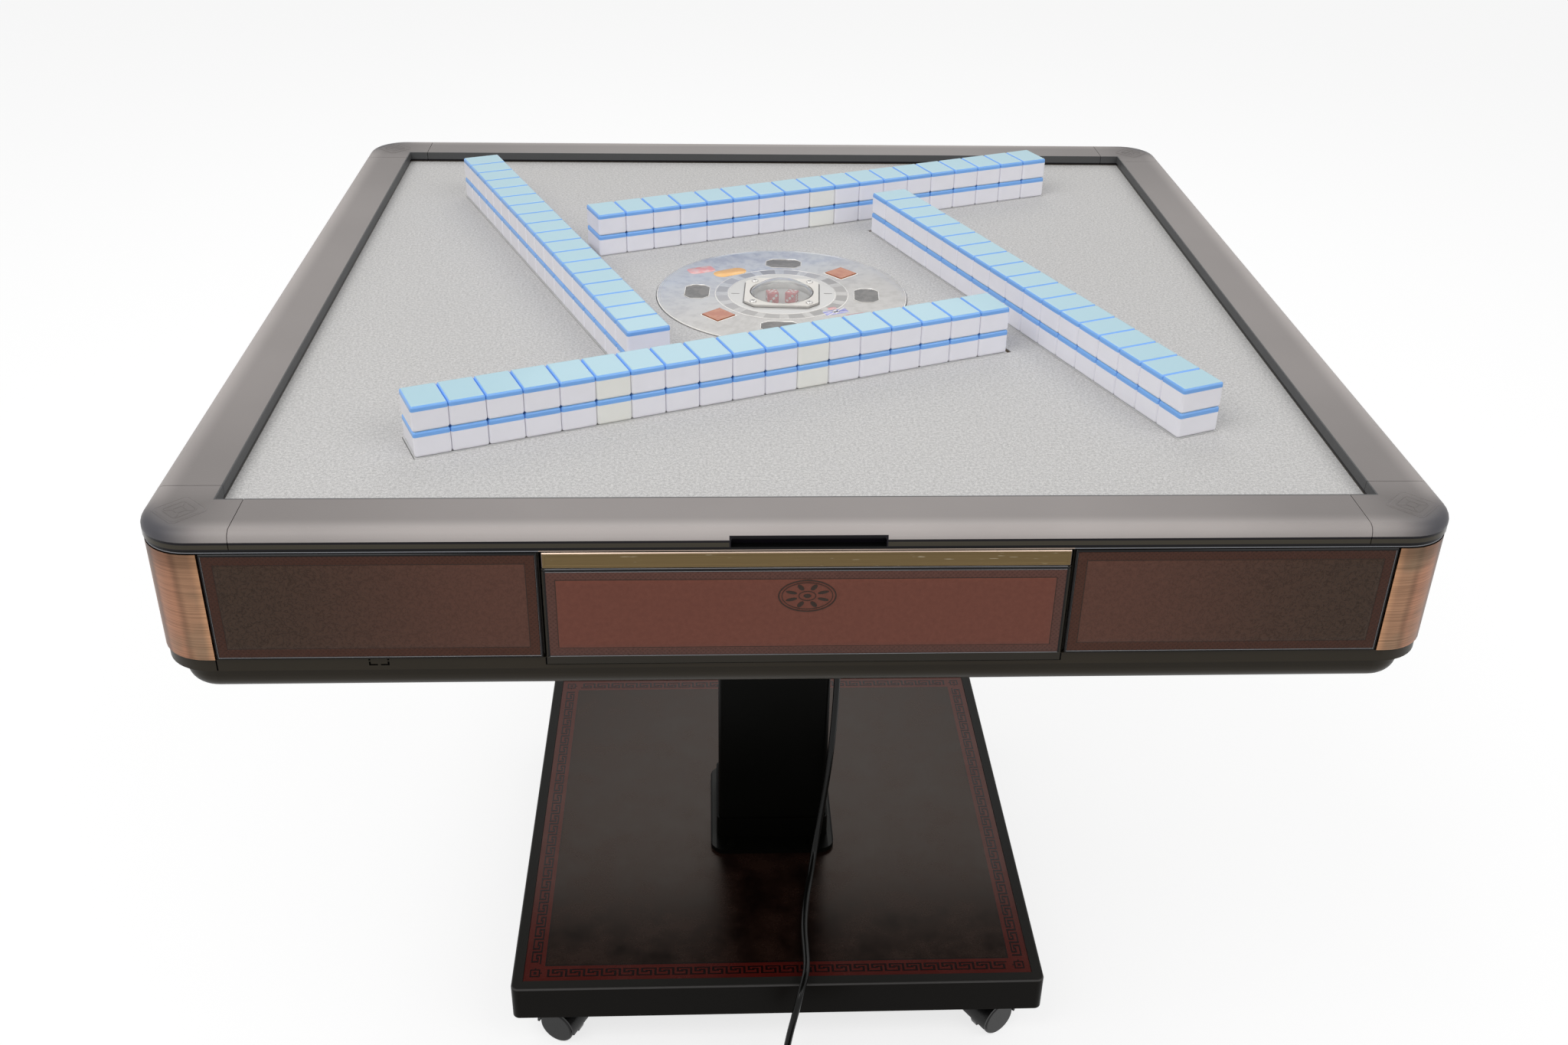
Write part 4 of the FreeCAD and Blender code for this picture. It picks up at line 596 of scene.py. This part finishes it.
def cut_rect(half_u, half_v, cut):
    """A rectangle with its corners cut off; CUT_RATE keeps the inset even across the cuts."""
    def outline(inset):
        u, v, c = half_u - inset, half_v - inset, cut - CUT_RATE * inset
        return [(u, v - c), (u - c, v), (c - u, v), (-u, v - c),
                (-u, c - v), (c - u, -v), (u - c, -v), (u, c - v)]
    return outline


def rect_between(u0, u1, v0, v1, radius):
    """A rectangle between two corners; its inset keeps the centres of the rounded corners."""
    du, dv = (u0 + u1) / 2, (v0 + v1) / 2
    return lambda inset: [(u + du, v + dv) for u, v in round_rect(
        (u1 - u0) / 2 - inset, (v1 - v0) / 2 - inset, radius - inset)]


def petal(reach, angle, half_u, half_v, squash=1.0):
    """A small oval that points away from the middle, turned by angle."""
    c, s = math.cos(angle), math.sin(angle)
    return lambda inset: [((reach + u) * c - v * s, ((reach + u) * s + v * c) * squash)
                          for u, v in oval(half_u - inset, half_v - inset, 16)]


class Shape:
    """Mesh code for one piece: skins lofted through closed rings of points, each with its finish."""

    def __init__(self):
        self.bm = bmesh.new()
        self.finishes = []

    def finish(self, finish):
        if finish not in self.finishes:
            self.finishes.append(finish)
        return self.finishes.index(finish)

    def loft(self, rings, finishes, closed=False):
        """Skin rings of world points; closed joins the last ring to the first.

        finishes is one finish, or a list with one for each band between rings.
        """
        rows = [[self.bm.verts.new(p) for p in ring] for ring in rings]
        pairs = list(zip(rows, rows[1:] + rows[:1])) if closed else list(zip(rows, rows[1:]))
        bands = finishes if isinstance(finishes, (list, tuple)) else [finishes] * len(pairs)
        made = []
        for (low, high), finish in zip(pairs, bands):
            index = self.finish(finish)
            for i in range(len(low)):
                j = (i + 1) % len(low)
                made.append(self.bm.faces.new((low[i], low[j], high[j], high[i])))
                made[-1].material_index = index
        if not closed:
            for row, finish in ((rows[0], bands[0]), (rows[-1], bands[-1])):
                made.append(self.bm.faces.new(row))
                made[-1].material_index = self.finish(finish)
        bmesh.ops.recalc_face_normals(self.bm, faces=made)

    def plate(self, to_world, outline, levels, finishes, closed=False):
        """outline(inset) gives (u, v) points; levels are (inset, height) from the back to the front."""
        self.loft([[to_world(u, v, height) for u, v in outline(inset)] for inset, height in levels],
                  finishes, closed)

    def band(self, to_world, outline, profile, finish):
        """A closed ring of material that follows outline(inset), with profile points (inset, height)."""
        self.plate(to_world, outline, profile, finish, closed=True)

    def done(self, name, body, replaces=()):
        mesh = bpy.data.meshes.new(name)
        self.bm.to_mesh(mesh)
        self.bm.free()
        for finish in self.finishes:
            mesh.materials.append(finish.material)
        mesh.polygons.foreach_set("use_smooth", [True] * len(mesh.polygons))
        mesh.set_sharp_from_angle(angle=math.radians(SHARP_ANGLE))
        made = bpy.data.objects.new(name, mesh)
        scene.collection.objects.link(made)
        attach(made, body)
        if replaces:
            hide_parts(*replaces)


# -------------------------------------------------------------------- cord
CORD_RADIUS, CORD_SKIN = 3.75, 3.7
CORD_EXIT = (72, 0, 517)
CORD_ROUTE = [
    CORD_EXIT, (72, 0, 455), (70.5, -6, 375), (69.5, -16, 295), (64, -29, 222), (56, -39, 163),
    (48.5, -54, 118), (41.5, -84, 99), (34.5, -122, 97), (30, -164, 97), (30.5, -200, 97.5), (30, -225, 101),
    (27, -245, 104), (21.5, -262, 98.5), (16, -273, 82), (10.5, -279, 60), (6.5, -284, 38), (3.5, -294, 18),
    (1.5, -311, 6.5), (0.4, -331, 4), (0, -351, 4),
]
COIL_CENTRE = (45.0, -372.0)
# angle in degrees, radius and height of the turns: one outer turn on the floor,
# the inner turns up, and the outer turns down again
COIL_COURSE = [
    (180, 45, 4), (460, 45, 4), (520, 37.5, 4), (760, 37.5, 4), (820, 37.5, 11.5), (1120, 37.5, 11.5),
    (1180, 37.5, 19), (1480, 37.5, 19), (1540, 37.5, 26.5), (1780, 37.5, 26.5), (1840, 45, 26.5),
    (2080, 45, 26.5), (2140, 45, 19), (2440, 45, 19), (2500, 45, 11.5), (2745, 45, 11.8), (2790, 45, 13),
]
COIL_STEP = 22.5
CONTROL_REACH = 1.0 / 0.985  # the curve runs inside its control points by this much
PLUG_START = (73.1, -417, 13)


def coil_points():
    """Control points of the turns, one every COIL_STEP degrees of COIL_COURSE."""
    points = []
    angle = COIL_COURSE[0][0]
    while angle <= COIL_COURSE[-1][0] - COIL_STEP / 2:
        for (a0, r0, z0), (a1, r1, z1) in zip(COIL_COURSE, COIL_COURSE[1:]):
            if a0 <= angle <= a1:
                share = (angle - a0) / (a1 - a0)
                radius, height = r0 + (r1 - r0) * share, z0 + (z1 - z0) * share
                break
        turn = math.radians(angle)
        points.append((COIL_CENTRE[0] + radius * CONTROL_REACH * math.cos(turn),
                       COIL_CENTRE[1] + radius * CONTROL_REACH * math.sin(turn), height))
        angle += COIL_STEP
    return points


def make_cord():
    points = CORD_ROUTE + coil_points() + [(52, -417.2, 13), (63, -417, 13), PLUG_START]
    data = bpy.data.curves.new("power_cord", "CURVE")
    data.dimensions = "3D"
    spline = data.splines.new("NURBS")
    spline.points.add(len(points) - 1)
    for point, (x, y, z) in zip(spline.points, points):
        point.co = (x * MM, y * MM, z * MM, 1.0)
    spline.order_u = 3
    spline.use_endpoint_u = True
    spline.resolution_u = 8
    data.bevel_depth = CORD_SKIN * MM
    data.bevel_resolution = 4
    data.use_fill_caps = True
    data.materials.append(RUBBER.material)
    cord = bpy.data.objects.new("power_cord", data)
    scene.collection.objects.link(cord)
    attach(cord, "stand")
    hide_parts("cord", "cord_coil")


make_cord()


# ------------------------------------------------------------------ lights
WORLD_LIGHT = 0.61  # strength of the world on the object; what looks at it sees 1
LAMPS = (  # name, place, aim, size in metres and power in watts
    ("key", (-1.6, -1.4, 3.4), (0.0, 0.0, 0.75), 2.4, 42.0),
    ("fill", (1.9, -1.6, 2.9), (0.0, 0.0, 0.7), 2.2, 22.0),
    ("back", (0.2, 2.6, 3.0), (0.0, 0.0, 0.75), 2.4, 15.0),
)
FLOOR_REACH, FLOOR_GLOW, GLOW_SHARE = 14.0, 1.25, 0.6
FLOOR_COLOUR = (0.86, 0.86, 0.86, 1.0)


def direct_rays(tree):
    """1 for camera, glossy and transmission rays, which show the background itself, and 0 for others."""
    path = tree.nodes.new("ShaderNodeLightPath")
    value = path.outputs["Is Camera Ray"]
    for kind in ("Is Glossy Ray", "Is Transmission Ray"):
        either = tree.nodes.new("ShaderNodeMath")
        either.operation = "MAXIMUM"
        tree.links.new(value, either.inputs[0])
        tree.links.new(path.outputs[kind], either.inputs[1])
        value = either.outputs[0]
    return value


def make_lights():
    """A plain even world and three soft lamps."""
    world = bpy.data.worlds.new("studio")
    scene.world = world
    world.use_nodes = True
    tree = world.node_tree
    tree.nodes.clear()
    strength = tree.nodes.new("ShaderNodeMapRange")
    strength.inputs[3].default_value, strength.inputs[4].default_value = WORLD_LIGHT, 1.0
    tree.links.new(direct_rays(tree), strength.inputs[0])
    background = tree.nodes.new("ShaderNodeBackground")
    tree.links.new(strength.outputs[0], background.inputs["Strength"])
    output = tree.nodes.new("ShaderNodeOutputWorld")
    tree.links.new(background.outputs[0], output.inputs[0])
    for name, place, aim, size, power in LAMPS:
        data = bpy.data.lights.new(name, "AREA")
        data.shape, data.size, data.energy = "DISK", size, power
        light = bpy.data.objects.new(name, data)
        light.location = place
        light.rotation_mode = "QUATERNION"
        light.rotation_quaternion = (Vector(aim) - Vector(place)).to_track_quat("-Z", "Y")
        scene.collection.objects.link(light)


def make_floor():
    """A white floor that glows for direct rays and keeps the object's shadow."""
    mesh = bpy.data.meshes.new("floor")
    r = FLOOR_REACH
    mesh.from_pydata([(-r, -r, 0), (r, -r, 0), (r, r, 0), (-r, r, 0)], [], [(0, 1, 2, 3)])
    material = bpy.data.materials.new("floor")
    material.use_nodes = True
    tree = material.node_tree
    tree.nodes.clear()
    share = tree.nodes.new("ShaderNodeMath")
    share.operation = "MULTIPLY"
    tree.links.new(direct_rays(tree), share.inputs[0])
    share.inputs[1].default_value = GLOW_SHARE
    diffuse = tree.nodes.new("ShaderNodeBsdfDiffuse")
    diffuse.inputs[0].default_value = FLOOR_COLOUR
    glow = tree.nodes.new("ShaderNodeEmission")
    glow.inputs["Strength"].default_value = FLOOR_GLOW
    mix = tree.nodes.new("ShaderNodeMixShader")
    tree.links.new(share.outputs[0], mix.inputs[0])
    tree.links.new(diffuse.outputs[0], mix.inputs[1])
    tree.links.new(glow.outputs[0], mix.inputs[2])
    output = tree.nodes.new("ShaderNodeOutputMaterial")
    tree.links.new(mix.outputs[0], output.inputs[0])
    mesh.materials.append(material)
    floor = bpy.data.objects.new("floor", mesh)
    scene.collection.objects.link(floor)


make_lights()
make_floor()
scene.view_settings.view_transform = "Standard"


# ------------------------------------------------------- panels and drawers
panel_box, drawer_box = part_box("side_panels"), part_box("drawer_front_front")
PANEL_LOW, PANEL_HIGH, PANEL_FACE = panel_box[0].z / MM, panel_box[1].z / MM, panel_box[1].x / MM
DRAWER_HALF, BAR_LOW = drawer_box[1].x / MM, drawer_box[0].z / MM
PANEL_START, PANEL_END = DRAWER_HALF + 2.4, 432.8
STRIP_LOW = PANEL_HIGH - 13.0
LEATHER_HIGH = STRIP_LOW - 3.4
ROSETTE_MIDDLE = 734.3


def make_panels():
    """Eight leather-covered panels, two on each side, in thin black frames with a tooled border."""
    shape = Shape()
    levels = [(0.4, 475.02), (0.0, 475.3), (0.0, 478.9), (0.5, PANEL_FACE), (1.5, PANEL_FACE), (1.75, 479.0),
              (1.9, 479.0), (2.3, 479.4), (8.6, 479.4), (8.9, 479.08), (9.4, 479.08), (9.9, 479.36),
              (13.0, 479.48)]
    # the fifth band, in light grey, is a painted highlight along the frame's outer edge
    bands = [GLOSS] * 4 + [LINE_HIGHLIGHT] + [GLOSS] + [PANEL_BORDER] * 3 + [STAMP] + [PANEL] * 2
    for turn in range(4):
        for sign in (-1, 1):
            outline = rect_between(*sorted((sign * PANEL_START, sign * PANEL_END)), PANEL_LOW, PANEL_HIGH, 0.8)
            shape.plate(upright_side(turn), outline, levels, bands)
    shape.done("leather_panels", "table_top", ["side_panels"])


def make_drawer_front(turn, side):
    """Black front with a leather field, a stamped rosette and a brass-coloured pull strip."""
    shape = Shape()
    world = upright_side(turn)
    half, leather_half, leather_low = DRAWER_HALF, DRAWER_HALF - 2.6, PANEL_LOW + 1.2
    shape.plate(world, rect_between(-half, half, PANEL_LOW, PANEL_HIGH, 0.8),
                [(0.5, 465.9), (0.0, 466.4), (0.0, 478.2), (0.6, 478.8)], GLOSS)
    # side bars, the bar under the strip, and the bottom bar down over the case's lip
    for u0, u1, v0, v1, finish in ((-half, 1.5 - half, PANEL_LOW, STRIP_LOW, BLACK),
                                   (half - 1.5, half, PANEL_LOW, STRIP_LOW, BLACK),
                                   (-half, half, STRIP_LOW - 2.6, STRIP_LOW - 0.9, GLOSS)):
        shape.plate(world, rect_between(u0, u1, v0, v1, 0.4),
                    [(0.0, 478.0), (0.0, 479.1), (0.4, PANEL_FACE)], finish)
    shape.plate(world, rect_between(-half, half, BAR_LOW, PANEL_LOW + 0.5, 0.4),
                [(0.0, 478.35), (0.0, 479.1), (0.4, PANEL_FACE)], BLACK)
    # painted highlight lines along the bars' edges
    for v0, v1 in ((PANEL_LOW + 0.6, PANEL_LOW + 0.95), (STRIP_LOW - 0.75, STRIP_LOW - 0.35),
                   (STRIP_LOW - 3.3, STRIP_LOW - 2.95)):
        shape.plate(world, rect_between(-leather_half, leather_half, v0, v1, 0.1),
                    [(0.0, 478.0), (0.0, 479.4)], LINE_HIGHLIGHT)
    shape.plate(world, rect_between(-leather_half, leather_half, leather_low, LEATHER_HIGH, 0.6),
                [(0.0, 478.0), (0.0, 479.0), (0.5, 479.35), (6.2, 479.35), (6.5, 479.05), (7.0, 479.05),
                 (7.4, 479.3), (10.5, 479.42)],
                [DRAWER_BORDER] * 4 + [STAMP] + [DRAWER] * 2)
    # the strip's bevelled edge carries the painted brass highlight
    shape.plate(world, rect_between(0.6 - half, half - 0.6, STRIP_LOW, PANEL_HIGH, 0.7),
                [(0.0, 472.6), (0.0, 478.7), (0.7, PANEL_FACE), (2.4, PANEL_FACE), (2.8, 479.1)],
                [BRASS, BRASS_HIGHLIGHT, BRASS, BRASS])
    make_rosette(shape, world)
    shape.done("drawer_face_" + side, "drawer_" + side, ["drawer_front_" + side])


def make_rosette(shape, world):
    """A plain oval stamp: two outer rings and an inner one, eight petals and a boss."""
    def flat(u, v, height):
        return world(u, ROSETTE_MIDDLE + v, height)
    low, high = 479.2, 479.72
    for half_u, half_v, width in ((21.5, 13.8, 1.1), (19.0, 11.7, 0.7), (6.6, 4.3, 0.7)):
        shape.band(flat, ellipse(half_u, half_v),
                   [(0.0, low), (0.15, high), (width - 0.15, high), (width, low)], STAMP)
    for i in range(8):
        shape.plate(flat, petal(12.6, 2 * math.pi * (i + 0.5) / 8, 4.5, 2.1, 0.62),
                    [(0.0, low), (0.2, high - 0.1), (1.0, high)], STAMP)
    shape.plate(flat, ellipse(3.0, 1.9, 20), [(0.0, low), (0.3, high), (1.2, high + 0.1)], STAMP)


make_panels()
for turn, side in enumerate(SIDES):
    make_drawer_front(turn, side)


# --------------------------------------------------------------- rim badges
RIM_TOP, BADGE_X, BADGE_Y = 790.0, 451.0, 446.5


def make_badges():
    """A plain embossed diamond on each corner cap: a rounded plate, two rings and four petals."""
    shape = Shape()
    for sx, sy in CORNERS:
        world = level_at(sx * BADGE_X, sy * BADGE_Y, RIM_TOP, 45.0)
        shape.plate(world, lambda inset: round_rect(15.2 - inset, 15.2 - inset, 4.5 - inset * 0.6, 6),
                    [(0.0, -0.3), (0.0, 0.02), (0.35, 0.3), (0.9, 0.3), (1.2, 0.08), (1.8, 0.08), (2.1, 0.26),
                     (3.0, 0.26)], RIM)
        for reach in (9.6, 4.2):
            shape.band(world, rounded(reach, reach, reach * 0.3),
                       [(0.0, 0.2), (0.15, 0.48), (0.7, 0.48), (0.85, 0.2)], RIM)
        for i in range(4):
            shape.plate(world, petal(8.0, math.pi / 4 + i * math.pi / 2, 3.2, 1.5),
                        [(0.0, 0.2), (0.2, 0.45), (0.9, 0.52)], RIM)
    shape.done("corner_badges", "table_top")


make_badges()


# ------------------------------------------------------------ control disc
disc_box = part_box("disc_plate")
DISC_TOP, DISC_RADIUS = disc_box[1].z / MM, disc_box[1].x / MM
BEZEL_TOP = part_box("dice_bezel")[1].z / MM
DISC_TURN = -3.5
WINDOW_REACH, SCREW_REACH = 83.0, 27.2
PRINTS = (  # place, half sizes, corner radius, turn and finish
    (-50, 57.5, 17.5, 8.8, 8.5, 28, ORANGE), (-79, 64, 13.5, 8.2, 4.5, 24, PINK),
    (50, -47, 12.0, 5.2, 1.0, 22, BLUE), (69, -55, 10.0, 4.0, 1.5, 20, PINK),
    (47, -38, 4.2, 2.6, 1.0, 22, PINK),
)


def ring_place(degrees, spin):
    """A level place on the ring of windows and buttons."""
    a = math.radians(degrees)
    return level_at(WINDOW_REACH * math.cos(a), WINDOW_REACH * math.sin(a), DISC_TOP, spin)


def make_disc_trim():
    """Bright edge and rings, frames round the windows and diamonds, and the flat coloured prints."""
    shape = Shape()
    flat = level_at(0, 0, DISC_TOP)
    for radius, width, high in ((DISC_RADIUS - 0.1, 1.2, 0.3), (65.6, 0.9, 0.16), (53.0, 0.8, 0.16),
                                (DISC_RADIUS - 3.4, 0.4, 0.1)):
        shape.band(flat, ellipse(radius, radius, 96),
                   [(0.0, -0.2), (0.0, high * 0.7), (0.2, high), (width - 0.2, high), (width, -0.2)], SILVER)
    for i in range(4):
        degrees = DISC_TURN + 90 * i
        shape.band(ring_place(degrees, degrees + 90), cut_rect(18.5, 12.5, 6.4),
                   [(0.0, -0.2), (0.0, 0.2), (0.2, 0.35), (0.7, 0.35), (0.9, 0.15), (1.0, -0.2)], SILVER)
    for i in (225, 45):
        shape.band(ring_place(i + DISC_TURN, 45 + DISC_TURN), rounded(12.9, 12.9, 0.8, 3),
                   [(0.0, -0.2), (0.0, 0.15), (0.2, 0.25), (1.2, 0.25), (1.4, -0.2)], SILVER)
    for x, y, half_u, half_v, radius, turn, finish in PRINTS:
        shape.plate(level_at(x, y, DISC_TOP, turn), rounded(half_u, half_v, radius, 6),
                    [(0.0, -0.1), (0.0, 0.08), (0.12, 0.14)], finish)
    # white lines across the blue print
    for half_u, half_v, turn in ((13.5, 0.7, 50), (13.0, 0.7, -2), (3.0, 3.0, 45)):
        shape.plate(level_at(50, -47, DISC_TOP, turn), rounded(half_u, half_v, 0.4, 3),
                    [(0.0, 0.0), (0.0, 0.2), (0.1, 0.24)], WHITE)
    # dark dashes beside the bezel, and the seam round it
    for sign in (-1, 1):
        shape.plate(level_at(sign * 45.5, 0, DISC_TOP, DISC_TURN), rounded(4.0, 0.4, 0.3, 3),
                    [(0.0, -0.1), (0.0, 0.1), (0.1, 0.15)], WINDOW)
    shape.band(level_at(0, 0, DISC_TOP, DISC_TURN), cut_rect(37.4, 37.4, 10.8),
               [(0.0, -0.2), (0.1, 0.12), (1.3, 0.12), (1.5, -0.2)], WINDOW)
    shape.done("disc_trim", "control_disc")


def make_bezel_screws():
    """Four pan-head screws; each cross recess is a dark cross of painted shade on the head."""
    shape = Shape()
    c, s = math.cos(math.radians(DISC_TURN)), math.sin(math.radians(DISC_TURN))
    for sx, sy in CORNERS:
        x, y, turn = SCREW_REACH * (sx * c - sy * s), SCREW_REACH * (sx * s + sy * c), 20 * sx + 35 * sy
        shape.plate(level_at(x, y, BEZEL_TOP, turn), ellipse(3.4, 3.4, 28),
                    [(0.0, -0.1), (0.0, 0.35), (0.35, 0.8), (1.2, 1.05), (2.4, 1.12)], STEEL)
        # painted shade: a dark cross in place of the cross recess
        for across in (0, 90):
            shape.plate(level_at(x, y, BEZEL_TOP, turn + across), rounded(2.0, 0.35, 0.1, 2),
                        [(0.0, 1.0), (0.0, 1.16)], WINDOW)
    shape.done("bezel_screws", "control_disc")


PIP_SPOTS = {1: [(0, 0)], 2: [(-1, -1), (1, 1)], 3: [(-1, -1), (0, 0), (1, 1)],
             4: [(-1, -1), (1, 1), (-1, 1), (1, -1)], 5: [(-1, -1), (1, 1), (-1, 1), (1, -1), (0, 0)],
             6: [(-1, -1), (-1, 0), (-1, 1), (1, -1), (1, 0), (1, 1)]}
# for each face of a dice: its count, the direction it faces and a direction along it
DICE_FACES = ((5, (0, 0, 1), (1, 0, 0)), (2, (0, 0, -1), (1, 0, 0)), (3, (0, -1, 0), (1, 0, 0)),
              (4, (0, 1, 0), (1, 0, 0)), (6, (1, 0, 0), (0, 1, 0)), (1, (-1, 0, 0), (0, 1, 0)))
DICE_REACH, SPOT_STEP = 9.5, 2.6
SPOT_RINGS = ((1.3, -0.2), (1.3, 0.02), (1.15, 0.06))  # radius and height


def make_dice():
    """Two rounded dice with round white spots; opposite faces add up to seven."""
    half, edge = 5.5, 1.4
    low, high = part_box("dice")
    shape = Shape()
    profile = [(edge, -half), (edge * 0.55, -half + edge * 0.1), (edge * 0.1, -half + edge * 0.55),
               (0.0, -half + edge), (0.0, half - edge), (edge * 0.1, half - edge * 0.55),
               (edge * 0.55, half - edge * 0.1), (edge, half)]
    for sign, spin in ((-1, 12.0), (1, -24.0)):
        middle = Vector((sign * DICE_REACH, (low.y + high.y) / 2 / MM, low.z / MM + half))
        turn = Matrix.Rotation(math.radians(spin), 3, "Z")

        def world(point):
            return (turn @ point + middle) * MM
        shape.loft([[world(Vector((u, v, up))) for u, v in
                     round_rect(half - inset, half - inset, max(edge - inset, 0.15))]
                    for inset, up in profile], DICE)
        for count, normal, across in DICE_FACES:
            normal, across = Vector(normal), Vector(across)
            up = normal.cross(across)
            for a, b in PIP_SPOTS[count]:
                spot = across * a * SPOT_STEP + up * b * SPOT_STEP
                shape.loft([[world(spot + across * u + up * v + normal * (half + out))
                             for u, v in oval(r, r, 14)] for r, out in SPOT_RINGS], PIP)
    shape.done("spotted_dice", "dice_shaker", ["dice"])


make_disc_trim()
make_bezel_screws()
make_dice()


# -------------------------------------------------------------- base border
KEY_UNIT = ("1111111.", "1.....1.", "1.....1.", "1.111.1.", "1.1.111.", "1.1.....", "1.111111")
KEY_COUNT = 26
KEY_REACH, KEY_START, KEY_DEPTH = 248.0, 255.8, 1.55
KEY_LOW, KEY_HIGH = -0.1, 0.12
KEY_CORNER, KEY_DOT = 261.0, 6.4  # a corner square's middle, and its dots' distance from it
NEIGHBOURS = ((0, -1), (1, 0), (0, 1), (-1, 0))


def make_key_border():
    """Greek-key border printed on the base board, as a low relief on a grid of square cells."""
    shape = Shape()
    index = shape.finish(KEY)
    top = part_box("base_board")[1].z / MM
    rows, columns = len(KEY_UNIT), len(KEY_UNIT[0])
    cell = 2 * KEY_REACH / (KEY_COUNT * columns)
    filled = {(unit * columns + i, rows - 1 - j)
              for unit in range(KEY_COUNT) for j, line in enumerate(KEY_UNIT)
              for i, mark in enumerate(line) if mark == "1"}
    for turn in range(4):
        world, corners, made = upright_side(turn, BASE_SHIFT), {}, []

        def face(*places):
            for i, j, up in places:
                if (i, j, up) not in corners:
                    corners[i, j, up] = shape.bm.verts.new(
                        world(-KEY_REACH + i * cell, top + up, KEY_START + j * KEY_DEPTH))
            made.append(shape.bm.faces.new([corners[place] for place in places]))
            made[-1].material_index = index
        for i, j in filled:
            square = ((i, j), (i + 1, j), (i + 1, j + 1), (i, j + 1))
            face(*((a, b, KEY_HIGH) for a, b in square))
            face(*((a, b, KEY_LOW) for a, b in reversed(square)))
            for (di, dj), start, end in zip(NEIGHBOURS, square, square[1:] + square[:1]):
                if (i + di, j + dj) not in filled:
                    face((*start, KEY_LOW), (*end, KEY_LOW), (*end, KEY_HIGH), (*start, KEY_HIGH))
        bmesh.ops.recalc_face_normals(shape.bm, faces=made)
    relief = [(0.0, KEY_LOW), (0.0, KEY_HIGH)]
    for sx, sy in CORNERS:
        def inwards(du, dv):
            return level_at(sx * (KEY_CORNER - du), sy * (KEY_CORNER - dv) + BASE_SHIFT, top)
        shape.band(inwards(0, 0), rounded(5.4, 5.4, 0.1, 1), relief + [(1.5, KEY_HIGH), (1.5, KEY_LOW)], KEY)
        for half, du, dv in ((1.7, 0, 0), (0.8, 0, KEY_DOT), (0.8, KEY_DOT, 0)):
            shape.plate(inwards(du, dv), rounded(half, half, 0.1, 1), relief, KEY)
    shape.done("key_border", "stand")


make_key_border()


# ---------------------------------------------------------------- lip marks
LATCH_MIDDLE = -315.7
# the latch's lines on both sides of its middle: far and near end, low and high
LATCH = ((7.5, 6.2, 676.2, 678.4), (7.5, 1.1, 675.1, 676.3), (7.6, 6.2, 679.5, 680.8))
LIP_TOP = 681.0


def make_lip_marks():
    """Fine black lines on the case's lip: a seam, painted shadow in the gap round a drawer's bar, and the
    front's latch.
    """
    shape = Shape()
    gap_half, gap_low = DRAWER_HALF + 1.2, BAR_LOW - 1.1
    for turn in range(4):
        world = upright_side(turn)
        # the second to fourth lines are painted shadow in the gap round the drawer's bar
        lines = [(-434.6, -433.6, 671.5, LIP_TOP), (-gap_half, gap_half, gap_low, BAR_LOW + 0.1),
                 (-gap_half, 0.1 - DRAWER_HALF, gap_low, LIP_TOP),
                 (DRAWER_HALF - 0.1, gap_half, gap_low, LIP_TOP)]
        if turn == 0:
            for far, near, v0, v1 in LATCH:
                lines += [(LATCH_MIDDLE - far, LATCH_MIDDLE - near, v0, v1),
                          (LATCH_MIDDLE + near, LATCH_MIDDLE + far, v0, v1)]
        for u0, u1, v0, v1 in lines:
            shape.plate(world, rect_between(u0, u1, v0, v1, 0.1),
                        [(0.0, 477.8), (0.0, 478.03), (0.1, 478.06)], INK_AND_SHADOW)
    shape.done("lip_marks", "table_top")


make_lip_marks()
